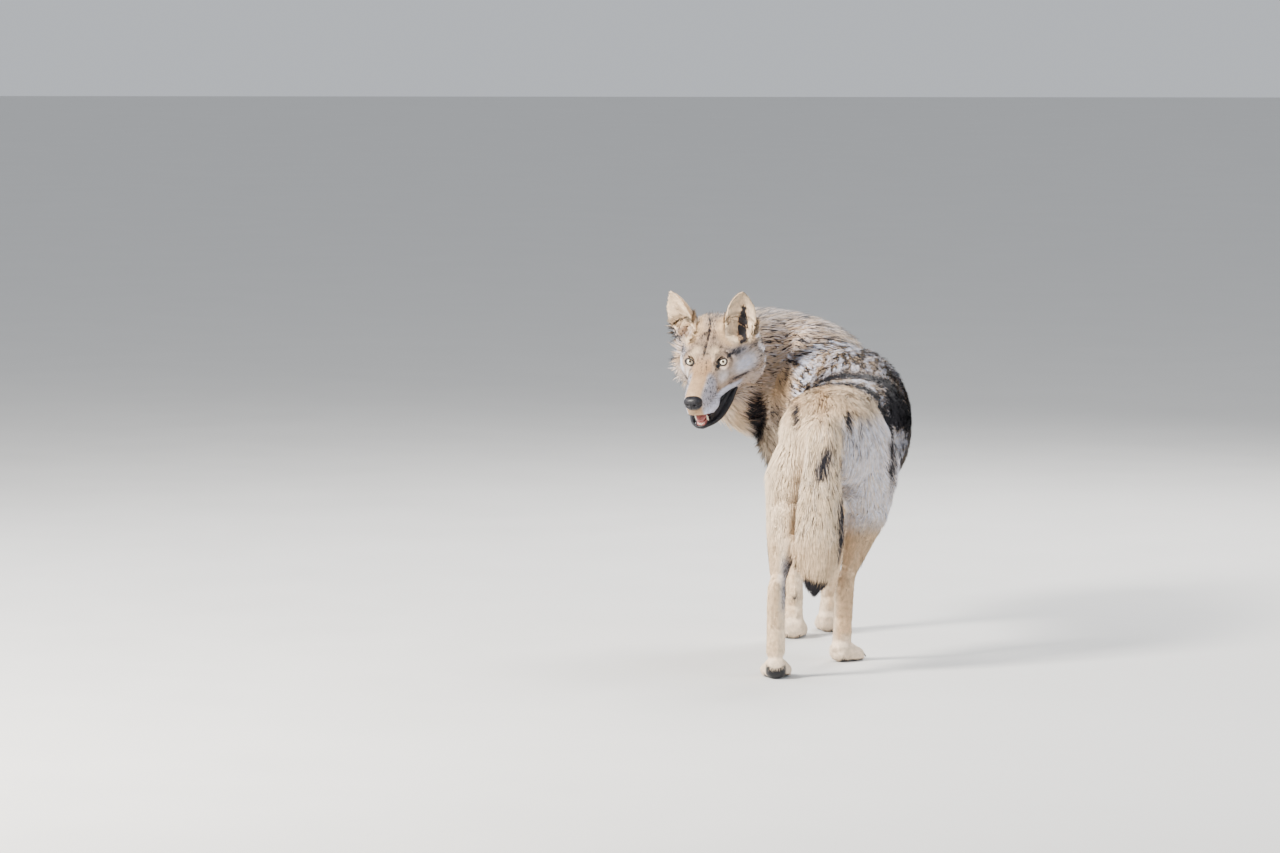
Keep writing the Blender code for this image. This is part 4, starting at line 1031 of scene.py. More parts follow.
def make_skin(material):
    """The skin with its markings, and its points, triangles and normals for the coat."""
    mesh = cast_skin()
    points, tris, _ = mesh_arrays(mesh)
    normals = vertex_normals(points, tris)
    survey = Survey(points)
    strengths, black, pink = marks(survey, normals)
    mesh.materials.clear()
    mesh.name = "skin"
    set_colours(mesh, "marks", strengths)
    bare = np.ones((len(points), 4))
    bare[:, 0], bare[:, 1] = black, pink
    set_colours(mesh, "bare", bare)
    mesh.polygons.foreach_set("use_smooth", np.ones(len(mesh.polygons), bool))
    skin = put_in_scene("skin", mesh, material)
    skin.vertex_groups.clear()
    return skin, points, tris, normals


# ---------------------------------------------------------------------------------------------
# The coat.

# Tufts to each square centimetre of skin.
DENSITY = {"head": ((0, 0.3, 0.5, 0.75, 1), (80, 72, 60, 36, 20)), "neck": ((0, 1), (14, 14)),
           "trunk": ((0, 1), (13, 13)), "tail": ((0, 1), (20, 20)),
           "leg": ((0, 0.3, 0.5, 0.7, 1), (15, 15, 19, 19, 17))}
EAR_DENSITY = 80


class Tuft:
    """The plan of a closed tuft: for each of its points how far along, how broad and how high it is
    and where round the tuft it lies, and for each face its corners and their places on a patch."""

    def __init__(self, rise, girth, lift, spread, stand, faces, places):
        self.rise, self.girth, self.lift = np.array(rise), np.array(girth), np.array(lift)
        self.spread, self.stand = np.array(spread), np.array(stand)
        self.sizes = np.array([len(face) for face in faces])
        self.corners = np.concatenate(faces)
        self.places = np.concatenate(places)
        self.triangles = len(faces)


def plan_lock():
    """A lock: a point at its root, three round it at its broadest, and one at its tip."""
    faces, places = [], []
    for j in range(3):
        k = (j + 1) % 3
        low, high = (j / 3, 0.4), ((j + 1) / 3, 0.4)
        faces += [[0, 1 + j, 1 + k], [1 + j, 4, 1 + k]]
        places += [[((j + 0.5) / 3, 0.0), low, high], [low, ((j + 0.5) / 3, 1.0), high]]
    return Tuft((0, 0.4, 0.4, 0.4, 1), (0, 1, 1, 1, 0), (0, 0.66, 0.66, 0.66, 1),
                (0, -0.5, 0.5, 0, 0), (0, 0, 0, 0.45, 0), faces, places)


def plan_hair():
    """A short hair: three points at its root and one at its tip."""
    faces, places = [[0, 1, 2]], [[(0.3, 0.0), (0.6, 0.0), (0.45, 0.09)]]
    for j in range(3):
        k = (j + 1) % 3
        faces.append([j, 3, k])
        places.append([(j / 3, 0.1), ((j + 0.5) / 3, 1.0), ((j + 1) / 3, 0.1)])
    return Tuft((0, 0, 0, 1), (1, 1, 1, 0), (0, 0, 0, 1),
                (-0.5, 0.5, 0, 0), (0, 0, 0.45, 0), faces, places)


# The slot of each piece of the coat that isn't the trunk's.
COAT_SLOTS = {"coat_neck": "neck", "coat_tail": "tail", "coat_ears": "ear",
              "coat_thigh_left": "hindleg", "coat_thigh_right": "hindleg",
              "coat_shins": "hindleg", "coat_upper_arms": "foreleg",
              "coat_ruff": "head", "coat_face": "head"}
LOCK, HAIR = plan_lock(), plan_hair()


def scatter(points, tris):
    """Roots spread over the skin's triangles, as many to each as its area and place call for."""
    a, b, c = points[tris].transpose(1, 0, 2)
    cross = np.cross(b - a, c - a)
    area = np.linalg.norm(cross, axis=1) / 2
    survey = Survey((a + b + c) / 3)
    normals = unit(cross)
    black, pink = bare_skin(survey, normals)
    cup, hollow = inner_ear(survey, normals)
    density = survey.blend(DENSITY) * 1e4 * FILL
    ear = step(ear_height(survey.head), 0.0, 0.1) * survey.is_part("head")
    density = density * (1 - ear) + ear * EAR_DENSITY * 1e4 * FILL
    density *= (black < 0.35) & (pink < 0.35)
    density *= (1 - 0.55 * cup) * (hollow < 0.30 + 0.5 * (survey.head[:, 1] < 0))
    density *= mouth_gap(survey.head) > 0.003
    density *= (survey.own[:, 2] > 0.006) | (normals[:, 2] > -0.3)
    want = area * density
    each = np.floor(want + CHANCE.random(len(want))).astype(int)
    owner = np.repeat(np.arange(len(tris)), each)
    r1, r2 = np.sqrt(CHANCE.random(len(owner)))[:, None], CHANCE.random(len(owner))[:, None]
    roots = a[owner] * (1 - r1) + b[owner] * r1 * (1 - r2) + c[owner] * r1 * r2
    return roots, tris[owner], np.concatenate([1 - r1, r1 * (1 - r2), r1 * r2], 1)


def flat_on(vectors, normals):
    """The part of each vector that lies in the skin, at length 1."""
    return unit(vectors - (vectors * normals).sum(1)[:, None] * normals)


def tuft_points(plan, roots, normals, survey, length, depth, width):
    """Each tuft's points and soft normals.

    A point lies along the tuft by its rise, off the skin by its lift and aside by its girth, and
    noise gathers it with its neighbours by its rise to the power 1.5.
    """
    count = len(roots)
    head = survey.head
    ear = ear_height(head) * survey.is_part("head")
    cup, _ = inner_ear(survey, normals)
    left = (head[:, 1] > 0)[:, None]
    axes = [(ear_axes(side)[1] @ HEAD_AXES)[:, None] for side in (1, -1)]
    front, _, up_ear = np.where(left[None], *axes)
    lie = np.where(((ear > 0.03) | (cup > 0.3))[:, None], up_ear + 0.35 * cup[:, None] * front,
                   survey.lie)
    sway = np.stack([wool(survey.own, 0.028, seed) for seed in (21, 22, 23)], -1) - 0.5
    lie = flat_on(lie + 0.55 * sway + 0.10 * CHANCE.normal(size=(count, 3)), normals)
    across = np.cross(lie, normals)
    long = np.clip(length / 0.030, 0.3, 1.6)[:, None]
    gather = (slope(survey.own, 0.015, 31) * 0.006 * long
              + slope(survey.own, 0.006, 32) * 0.0016 * long)
    gather -= (gather * normals).sum(1)[:, None] * normals
    height = np.maximum(depth * (0.52 + 0.48 * CHANCE.random(count)), length * (0.05 + 0.30 * cup))
    rise = plan.rise[None, :, None]
    spine = (roots[:, None] + lie[:, None] * (length[:, None, None] * rise)
             + normals[:, None]
             * (height[:, None, None] * plan.lift[None, :, None] - 0.0012 * (1 - rise))
             + gather[:, None] * rise ** 1.5)
    spread, stand = ((part * plan.girth)[None, :, None] for part in (plan.spread, plan.stand))
    offset = width[:, None, None] * (across[:, None] * spread + normals[:, None] * stand)
    soft = unit(normals[:, None] + 0.55 * unit(offset + 1e-9) * plan.girth[None, :, None]
                + 0.25 * lie[:, None])
    return spine + offset, soft


def lay_tufts(name, plan, chosen, roots, normals, chart, material):
    """One mesh of many tufts, with its markings, its soft normals and its UV map.

    A tuft whose middle rises too far over the skin, or that reaches too far aside, is left out.
    """
    roots, normals, chart = roots[chosen], normals[chosen], chart[chosen]
    survey = Survey(roots)
    length = coat_length(survey) * (0.70 + 0.60 * CHANCE.random(len(roots)))
    depth = coat_depth(survey)
    width = survey.blend(WIDTH) * (0.75 + 0.5 * CHANCE.random(len(roots)))
    points, soft = tuft_points(plan, roots, normals, survey, length, depth, width)
    middles = Survey(roots + 0.5 * (points[:, -1] - roots))
    own_part = (survey.part, np.arange(len(roots)))
    rise = (middles.near[own_part] - survey.near[own_part]) * survey.span[own_part]
    fits = (rise < 1.1 * depth + 0.005) & (np.abs(points[..., 0]).max(1) < WIDEST)
    strengths = marks(middles, normals)[0][fits]
    points, soft, chart, face = points[fits], soft[fits], chart[fits], survey.is_part("head")[fits]
    count, each = len(points), len(plan.rise)
    corners = (plan.corners[None] + np.arange(count)[:, None] * each).ravel()
    ends = np.cumsum(np.tile(plan.sizes, count))
    mesh = build_mesh(name, points.reshape(-1, 3), corners, np.concatenate([[0], ends[:-1]]))
    mixed = CHANCE.normal(size=(count, 2)) * np.where(face, 0.55, 1.0)[:, None]
    strengths[:, 0] += (0.20 * mixed[:, 0] * step(strengths[:, 0], 0.08, 0.30)
                        * step(strengths[:, 0], 1.05, 0.80))
    strengths[:, 3] *= np.clip(1 + 0.45 * mixed[:, 1], 0, 1.6)
    strengths = np.clip(strengths, 0, 1.3)
    chance = CHANCE.random(count)
    set_colours(mesh, "marks", np.repeat(strengths, each, axis=0))
    strand = np.stack([np.tile(plan.rise, count), np.repeat(chance, each), np.zeros(count * each),
                       np.ones(count * each)], -1)
    set_colours(mesh, "strand", strand)
    places = mesh.uv_layers.new(name="OFBake")
    patch = chart[:, None] * 0.996 + 0.003 * plan.places[None]
    places.data.foreach_set("uv", patch.astype(np.float32).ravel())
    mesh.normals_split_custom_set_from_vertices(soft.reshape(-1, 3))
    return put_in_scene(name, mesh, material)


def make_coat(points, tris, skin_normals, material):
    """All the pieces of the coat, each with its own chart of the skin: how far round and along."""
    roots, corners, weights = scatter(points, tris)
    normals = unit((skin_normals[corners] * weights[..., None]).sum(1))
    survey = Survey(roots)
    turn = {part: survey.of(part, "round") / (2 * math.pi) + 0.5 for part in PARTS}
    along = {part: survey.of(part, "along") for part in PARTS}
    ear = (ear_height(survey.head) > 0.03) & survey.is_part("head")
    head = survey.is_part("head") & ~ear
    trunk, neck, tail = (survey.is_part(part) for part in ("trunk", "neck", "tail"))
    legs = {leg: survey.is_part(leg) for leg in LEGS}
    long_head = head & (coat_length(survey) > 0.0155)
    pieces = []

    def lay(name, plan, chosen, across, ahead):
        chart = np.stack([np.clip(across, 0, 1), np.clip(ahead, 0, 1)], -1)
        limit = COAT_TRIANGLES // plan.triangles
        rows = np.nonzero(chosen)[0]
        if len(rows) > limit:
            rows = CHANCE.permutation(rows)[:limit]
        pieces.append(lay_tufts(name, plan, rows, roots, normals, chart, material))

    left = turn["trunk"] < 0.5
    front = along["trunk"] < 0.5
    for word, half in (("left", left), ("right", ~left)):
        across = turn["trunk"] * 2 - (word == "right")
        lay(f"coat_shoulder_{word}", LOCK, trunk & half & front, across, along["trunk"] * 2)
        lay(f"coat_flank_{word}", LOCK, trunk & half & ~front, across, along["trunk"] * 2 - 1)
    lay("coat_neck", LOCK, neck, turn["neck"], along["neck"])
    lay("coat_tail", LOCK, tail, turn["tail"], along["tail"])
    place = np.select(list(legs.values()), [(i + turn[leg]) / 4 for i, leg in enumerate(legs)], 0.0)
    down = np.select(list(legs.values()), [along[leg] for leg in legs], 0.0)
    any_leg = np.any(list(legs.values()), axis=0)
    long_leg = any_leg & (coat_length(survey) > 0.018)
    hind = legs["hind_left"] | legs["hind_right"]
    lay("coat_thigh_left", LOCK, long_leg & legs["hind_left"], place * 4, down / 0.55)
    lay("coat_thigh_right", LOCK, long_leg & legs["hind_right"], place * 4 - 1, down / 0.55)
    lay("coat_upper_arms", LOCK, long_leg & ~hind, place * 2 - 1, down / 0.55)
    lay("coat_shins", HAIR, any_leg & ~long_leg, place, (down - 0.4) / 0.6)
    lay("coat_ruff", LOCK, long_head, turn["head"], (along["head"] - 0.5) * 2)
    lay("coat_face", HAIR, head & ~long_head, turn["head"], along["head"] * 1.25)
    f, l, u = survey.head.T
    round_ear = (np.arctan2(np.abs(l) - EAR_ROOT[1] - 0.34 * (u - EAR_ROOT[2]), f - EAR_ROOT[0])
                 / (2 * math.pi) + 0.5)
    lay("coat_ears", HAIR, ear, round_ear / 2 + 0.5 * (l > 0), ear_height(survey.head))
    return pieces


# ---------------------------------------------------------------------------------------------
# Eyes, lids, nose, mouth and claws.

def socket_axes(side):
    """The axes of socket_frame in the frame."""
    return socket_frame(side) @ HEAD_AXES


def eyeball_grid(side):
    """Rings round the gaze, back past the tail: a ball with its clear front bulging a little."""
    look = unit(np.array((-0.016, 0.9963, 0.084)))
    across = unit(np.cross(look, HEAD_AXES[2]))
    above = np.cross(across, look)
    tilt = np.linspace(0.02, math.pi - 0.02, 40)[:, None, None]
    turn = np.linspace(0, 2 * math.pi, 56, endpoint=False)[None, :, None]
    radius = EYE_RADIUS * (0.985 + 0.045 * np.exp(-(tilt / 0.55) ** 2))
    ring = np.cos(tilt) * look + np.sin(tilt) * (np.cos(turn) * across + np.sin(turn) * above)
    return from_head(eye_at(side)) + radius * ring


def make_eyes(material):
    """Both eyeballs; each point carries how far it is from the gaze, and where round it."""
    for side, word in ((1, "left"), (-1, "right")):
        grid = eyeball_grid(side)
        mesh = rings_mesh("eye_" + word, [grid])
        rows, sides = grid.shape[:2]
        tilt = np.concatenate([np.repeat(np.linspace(0, 1, rows), sides), [0, 1]])
        turn = (np.concatenate([np.tile(np.linspace(0, 1, sides, endpoint=False), rows), [0, 0]])
                * 2 * math.pi)
        set_colours(mesh, "iris",
                    np.stack([tilt, 0.5 + 0.5 * np.cos(turn), 0.5 + 0.5 * np.sin(turn),
                              np.ones(len(tilt))], -1))
        mount(put_in_scene("eyeball_" + word, mesh, material), "eye", "eye_" + word)


def lid_grid(side):
    """A roll round the almond opening: from its sharp rim on the eyeball out to under the skin.

    Row t of the grid is the almond widened by t; it stands off the ball by a half sine.
    """
    out, outer, up = socket_axes(side)
    turn = np.linspace(0, 2 * math.pi, 64, endpoint=False)
    c, s = np.cos(turn), np.sin(turn)
    inner_corner = np.clip(-c, 0, 1) ** 6
    x = 0.0102 * c - 0.0014 * inner_corner
    y = np.where(s > 0, 0.0056, 0.0066) * np.sign(s) * np.abs(s) ** 1.2 - 0.0010 * inner_corner
    far_x, far_y = 0.0130 * c - 0.003 * inner_corner, 0.0102 * s - 0.0015 * inner_corner
    rows = []
    for t in np.linspace(0, 1, 9):
        a, b = x * (1 - t) + far_x * t, y * (1 - t) + far_y * t
        bulge = 0.0003 + 0.0011 * math.sin(math.pi * min(1.0, 1.3 * t)) - 0.0034 * t ** 3
        depth = np.maximum(np.sqrt(np.maximum(EYE_RADIUS ** 2 - a * a - b * b, 0)), 0.0068) + bulge
        rows.append(depth[:, None] * out + a[:, None] * outer + b[:, None] * up)
    for t in (1.0, 0.0):
        rows.append(rows[8 if t else 0] * (0.90 if t else 0.93))
    return from_head(eye_at(side)) + np.stack(rows)


def hoop_mesh(name, grids):
    """Closed hoops: each grid wraps round both ways, so it needs no ends."""
    points, corners, base = [], [], 0
    for grid in grids:
        rows, sides = grid.shape[:2]
        i, j = np.meshgrid(np.arange(rows), np.arange(sides), indexing="ij")
        below, beside = (i + 1) % rows, (j + 1) % sides
        quads = np.stack([i * sides + j, below * sides + j, below * sides + beside,
                          i * sides + beside], -1)
        corners.append(quads.reshape(-1) + base)
        points.append(grid.reshape(-1, 3))
        base += rows * sides
    corners = np.concatenate(corners)
    mesh = build_mesh(name, np.vstack(points), corners, np.arange(len(corners) // 4) * 4)
    turn_outwards(mesh)
    return mesh


def nose_grid():
    """A pad whose rings round the way ahead are ellipses with cosine and sine to the power .82.

    Soft spots dent it for the nostrils and their side slits, and a bell curve for the groove.
    """
    tilt = np.linspace(0.03, math.pi - 0.03, 48)[:, None]
    turn = np.linspace(0, 2 * math.pi, 72, endpoint=False)[None]
    level, half = -NOSE_BELOW, 0.0232

    def rounded(v):
        return np.sign(v) * np.abs(v) ** 0.82

    f = 0.1165 + 0.0172 * rounded(np.cos(tilt)) * np.ones_like(turn)
    l = half * rounded(np.sin(tilt)) * rounded(np.cos(turn))
    u = level + 0.0176 * rounded(np.sin(tilt)) * rounded(np.sin(turn))
    u = np.where(u > level, u, level + (u - level) * (1 - 0.25 * (l / half) ** 2))
    pad = np.stack([f, l, u], -1)
    side = np.stack([f, np.abs(l), u], -1)
    dent = 0.0068 * spot(side, (0.131, 0.0098, level), (0.010, 0.0040, 0.0042))
    dent += 0.0050 * spot(side, (0.124, 0.0180, -0.0430), (0.010, 0.0060, 0.0022))
    groove = np.exp(-(l / 0.0012) ** 2) * step(u, -0.030, -0.040) * step(f, 0.118, 0.126)
    dent = dent + 0.0016 * groove
    centre = np.array((0.112, 0.0, level))
    return pad - unit(pad - centre) * dent[..., None]


def tongue_grid():
    """A flat tongue carried along the jaw, its top hollowed along the middle by a bell curve."""
    path = ((-0.030, 0, -0.081, 0.017, 0.0045), (0.010, 0, -0.0870, 0.018, 0.0050),
            (0.045, 0, -0.0900, 0.0190, 0.0055),
            (0.068, 0, -0.0925, 0.0175, 0.0052), (0.086, 0, -0.0965, 0.0145, 0.0046),
            (0.0985, 0, -0.1030, 0.0070, 0.0026))
    grid = swept(path, 40, 2.3)
    hollow = 0.0022 * np.exp(-(grid[..., 1] / 0.004) ** 2)
    centre = grid.mean(1, keepdims=True)
    grid[..., 2] -= hollow * (grid[..., 2] > centre[..., 2])
    return grid


def spike(root, tip, radius, bend, sides=8):
    """A horn from root to tip, t: bent by 4t(1 - t), its girth the root of 1 - t^1.6."""
    t = np.linspace(0, 1, 7)[:, None]
    root, tip, bend = (np.asarray(v, float) for v in (root, tip, bend))
    line = root * (1 - t) + tip * t + bend * 4 * t * (1 - t)
    girth = radius * np.sqrt(np.clip(1 - t[:, 0] ** 1.6, 0.0025, 1))
    along = unit(np.gradient(line, axis=0))
    across = unit(np.cross(along, np.array((0.31, 0.17, 0.93))))
    above = np.cross(along, across)
    turn = np.linspace(0, 2 * math.pi, sides, endpoint=False)
    ring = np.cos(turn)[:, None] * across[:, None] + np.sin(turn)[:, None] * above[:, None]
    return line[:, None] + ring * girth[:, None, None]


def tooth_grids():
    """Lower canines and incisors as joined horns."""
    grids = []
    for side in (-1, 1):
        grids.append(spike((0.083, side * 0.0135, -0.111), (0.089, side * 0.0158, -0.0905), 0.0034,
                           (-0.001, 0, 0)))
        for number in range(3):
            x = 0.0016 + 0.0030 * number
            grids.append(spike((0.0990 - number * 0.0020, side * x, -0.114),
                               (0.1005 - number * 0.0020, side * x, -0.1082),
                               0.0017, (0, 0, 0)))
    return grids


def lip_roll():
    """The lower lip: a black roll round the jaw, broader at its sides by up to 7.5 mm.

    What it is broader by rises in a straight line from its corner and falls in one to its front.
    """
    f, l, u = np.array(LOWER_LIP).T
    spare = 0.0075 * np.clip((0.095 - f) / 0.05, 0, 1) * np.minimum((f + 0.04) / 0.03, 1)
    half = np.stack([f, l - spare, u - 0.002, 0.0028 + spare, 0.0040 + 0.45 * spare], -1)
    return swept(np.vstack([half * (1, -1, 1, 1, 1), half[-2::-1]]), 16, 2.2)


def lip_edge(side):
    """The thin black rim of an upper lip; its girth is a root of a half sine along it."""
    half = np.array(UPPER_LIP[:-3])
    girth = 0.0004 + 0.0016 * np.sin(np.linspace(0, math.pi, len(half))) ** 0.5
    path = [(f, side * l, u + 0.001, g, g) for (f, l, u), g in zip(half, girth)]
    return swept(path, 10, 2.0)


def lip_web_and_mouth_shade(side):
    """The cheek's black inner edge between the lips, standing partly as a dark sheet for the shade
    inside the open mouth: a thin slab with a hollow front edge.

    Its two faces are grids of (up from the lower rim) x (ahead), and its front edge curves back
    by a half sine.
    """
    share = np.concatenate([np.linspace(0, 1, 9), np.linspace(1, 0, 9)])
    face = np.concatenate([np.ones(9), -np.ones(9)])
    reach = np.linspace(0, 1, 22)[:, None]
    end = 0.087 - 0.012 * np.sin(math.pi * share) ** 0.8
    f = MOUTH_CORNER + reach * (end - MOUTH_CORNER)
    upper, lower = np.array(UPPER_LIP[:-1]), np.array(LOWER_LIP[:-1])
    top_out, top_up = np.interp(f, upper[:, 0], upper[:, 1]), np.interp(f, upper[:, 0], upper[:, 2])
    low_out, low_up = np.interp(f, lower[:, 0], lower[:, 1]), np.interp(f, lower[:, 0], lower[:, 2])
    up = low_up * (1 - share) + (top_up + 0.006) * share
    out = (low_out - 0.007) * (1 - share) + (top_out - 0.007) * share + 0.0011 * face
    return np.stack([f, side * out, up], -1)


def make_claws(material):
    """Four claws to a paw, curving down out of the ends of the toes."""
    grids = []
    for x, y, turn, length, width, height in PAWS.values():
        c, s = math.cos(turn), math.sin(turn)
        place = np.array(((c, s, 0), (-s, c, 0), (0, 0, 1)))
        for across, ahead in ((-0.76, 0.62), (-0.27, 0.75), (0.27, 0.75), (0.76, 0.62)):
            side, tip = across * width / 2 * 0.90, -length * ahead
            root = np.array((side, tip + 0.008, height * 0.36))
            end = np.array((side * 1.03, tip - 0.0155, height * 0.10))
            grid = spike(root, end, 0.0030, (0, -0.001, 0.0030))
            grids.append(grid @ place + np.array((x, y, 0)) + SHIFT)
    mount(put_in_scene("claws", rings_mesh("claws", grids), material), "paw")


def whisker_grids():
    """Long thin bristles from rows on the whisker pads and a few over the eyes."""
    grids = []
    for side in (-1, 1):
        for row in range(3):
            for number in range(4):
                root = np.array((0.098 - 0.011 * number, side * (0.021 + 0.0022 * number),
                                 -0.050 - 0.006 * row))
                way = unit(np.array((-0.35 - 0.15 * number, side * 1.0, -0.16 - 0.10 * row)))
                grids.append(spike(root, root + way * (0.022 + 0.005 * number), 0.00032,
                                   (0, 0, 0.003), sides=4))
        for number in range(3):
            root = np.array((0.000, side * (0.024 + 0.005 * number), 0.019))
            way = unit(np.array((-0.1, side * (0.3 + 0.2 * number), 1.0)))
            grids.append(spike(root, root + way * 0.026, 0.0003, (0.003, 0, 0), sides=4))
    return grids


# ---------------------------------------------------------------------------------------------
# Finishes.

class Wiring:
    """Adds nodes to a tree; an input given as a socket is linked, anything else is its value."""

    def __init__(self, tree):
        self.tree = tree

    def feed(self, node, inputs):
        """Sets a node's inputs; a colour given as three numbers becomes an opaque one."""
        for key, value in inputs.items():
            socket = node.inputs[key]
            if isinstance(value, bpy.types.NodeSocket):
                self.tree.links.new(value, socket)
            else:
                opaque = isinstance(value, tuple) and socket.type == "RGBA"
                socket.default_value = (*value, 1.0) if opaque else value
        return node

    def add(self, kind, inputs=None, **settings):
        node = self.tree.nodes.new(kind)
        for key, value in settings.items():
            setattr(node, key, value)
        return self.feed(node, inputs or {})

    def mix(self, share, a, b, how="MIX"):
        return self.add("ShaderNodeMix", {0: share, 6: a, 7: b}, data_type="RGBA",
                        blend_type=how).outputs[2]

    def calc(self, how, a, b):
        return self.add("ShaderNodeMath", {0: a, 1: b}, operation=how).outputs[0]

    def between(self, value, low, high, to_low=0.0, to_high=1.0):
        return self.add("ShaderNodeMapRange", {0: value, 1: low, 2: high, 3: to_low, 4: to_high},
                        interpolation_type="SMOOTHSTEP").outputs[0]

    def grain(self, size, detail=3.0, stretch=(1, 1, 1), roughness=0.55):
        """Noise on the object's own coordinates; `size` is that of its lumps."""
        place = self.add("ShaderNodeTexCoord").outputs["Object"]
        place = self.add("ShaderNodeMapping", {0: place, 3: stretch}).outputs[0]
        return self.add("ShaderNodeTexNoise", {"Vector": place, "Scale": 1 / size, "Detail": detail,
                                               "Roughness": roughness}).outputs["Fac"]

    def grey(self, value):
        return self.add("ShaderNodeCombineColor", {0: value, 1: value, 2: value}).outputs[0]

    def blend(self, share, a, b):
        """From a to b in a straight line as the share goes from 0 to 1."""
        return self.add("ShaderNodeMapRange", {0: share, 1: 0.0, 2: 1.0, 3: a, 4: b}).outputs[0]

    def layer(self, name):
        """A layer of colours that set_colours keeps with the mesh."""
        return self.add("ShaderNodeAttribute", attribute_name=name,
                        attribute_type="GEOMETRY").outputs

    def parts(self, colour):
        """A colour's red, green and blue."""
        return self.add("ShaderNodeSeparateColor", {0: colour}).outputs

    def coat(self, group, along, chance):
        """The shared coat colours, from the mesh's markings."""
        marks = self.layer("marks")
        return self.add("ShaderNodeGroup", {"Marks": marks["Color"], "Silver": marks["Alpha"],
                                            "Along": along, "Chance": chance},
                        node_tree=group).outputs

    def bump(self, height, strength, distance, **settings):
        return self.add("ShaderNodeBump",
                        {"Strength": strength, "Distance": distance, "Height": height},
                        **settings).outputs[0]


def new_material(name):
    """A material, the wiring of its tree and its shader."""
    material = bpy.data.materials.new(name)
    material.use_nodes = True
    tree = material.node_tree
    shader = tree.nodes["Principled BSDF"]
    return material, Wiring(tree), shader


AGOUTI = (0.180, 0.124, 0.082)      # the grey-brown of mixed hairs
TAN = (0.460, 0.235, 0.090)
CREAM = (0.940, 0.720, 0.480)
# silver-white hair, made blue to match fur in shade: the blue is a painted cast of skylight
SILVER_WITH_SHADE_BLUE = (0.640, 0.680, 0.840)
WOOL = (0.260, 0.205, 0.155)        # the dense undercoat at the roots
BLACK_TIP = (0.016, 0.014, 0.018)


def coat_group():
    """Marks, how far along a hair, and its chance, to the colour of the coat and its roughness."""
    tree = bpy.data.node_groups.new("coat colours", "ShaderNodeTree")
    for way, name, kind in (("INPUT", "Marks", "Color"), ("INPUT", "Silver", "Float"),
                            ("INPUT", "Along", "Float"), ("INPUT", "Chance", "Float"),
                            ("OUTPUT", "Colour", "Color"), ("OUTPUT", "Roughness", "Float")):
        tree.interface.new_socket(name, in_out=way, socket_type="NodeSocket" + kind)
    w = Wiring(tree)
    given = w.add("NodeGroupInput").outputs
    mark = w.parts(given["Marks"])
    dark, tan, pale = mark[0], mark[1], mark[2]
    colour = w.mix(tan, AGOUTI, TAN)
    colour = w.mix(pale, colour, CREAM)
    colour = w.mix(given["Silver"], colour, SILVER_WITH_SHADE_BLUE)
    woolly = w.calc("MULTIPLY", w.between(given["Along"], 0.45, 0.0, 0.0, 0.7),
                   w.between(pale, 0.2, 0.9, 1.0, 0.25))
    colour = w.mix(woolly, colour, WOOL)
    # a hair is black from a place on it that comes lower the darker the marking is
    want = w.calc("ADD", dark, w.calc("MULTIPLY", w.calc("SUBTRACT", given["Chance"], 0.5), 0.30))
    start = w.between(want, 0.0, 1.15, 1.05, 0.05)
    black = w.between(w.calc("SUBTRACT", given["Along"], start), -0.08, 0.14)
    black = w.calc("MULTIPLY", black, w.between(want, 0.10, 0.40))
    colour = w.mix(black, colour, BLACK_TIP)
    mottle = w.grain(0.010, 3.0)
    shade = w.between(mottle, 0.25, 0.75, 0.84, 1.12)
    own = w.between(given["Chance"], 0.0, 1.0, 0.82, 1.12)
    both = w.calc("MULTIPLY", shade, own)
    colour = w.mix(1.0, colour, w.grey(both), "MULTIPLY")
    rough = w.between(mottle, 0.2, 0.8, 0.52, 0.72)
    w.add("NodeGroupOutput", {"Colour": colour, "Roughness": rough})
    return tree


def coat_finish(group):
    """Fine glossy hairs: the shared coat colours along each tuft."""
    material, w, shader = new_material("winter coat")
    strand = w.parts(w.layer("strand")["Color"])
    coat = w.coat(group, strand[0], strand[1])
    w.feed(shader, {"Base Color": coat["Colour"], "Roughness": coat["Roughness"],
                    "Specular IOR Level": 0.30})
    return material


def skin_finish(group):
    """Skin under the coat, and bare: coat colours with a hair-like bump, black or pink leather."""
    material, w, shader = new_material("skin and short hair")
    part = w.parts(w.layer("bare")["Color"])
    strands = w.grain(0.0030, 4.0, (1.0, 1.0, 0.35), 0.65)
    along = w.between(w.grain(0.0024, 3.0, (1.0, 1.0, 0.30), 0.7), 0.32, 0.68, 0.32, 0.80)
    coat = w.coat(group, along, strands)
    leather = w.grain(0.0016, 2.0)
    black = w.mix(leather, (0.004, 0.004, 0.005), (0.012, 0.011, 0.014))
    pink = w.mix(leather, (0.30, 0.075, 0.065), (0.46, 0.15, 0.13))
    colour = w.mix(part[1], w.mix(part[0], coat["Colour"], black), pink)
    wet = w.calc("MAXIMUM", part[0], part[1])
    w.feed(shader, {"Base Color": colour, "Roughness": w.blend(wet, coat["Roughness"], 0.45),
                    "Normal": w.bump(w.blend(wet, strands, leather), 0.55, 0.0012),
                    "Specular IOR Level": 0.35})
    return material


def ramp(w, value, stops):
    """Colours at places from 0 to 1, with straight blends between them."""
    node = w.add("ShaderNodeValToRGB", {0: value})
    elements = node.color_ramp.elements
    while len(elements) < len(stops):
        elements.new(0.5)
    for element, (place, colour) in zip(elements, stops):
        element.position = place
        element.color = (*colour, 1.0)
    return node.outputs[0]


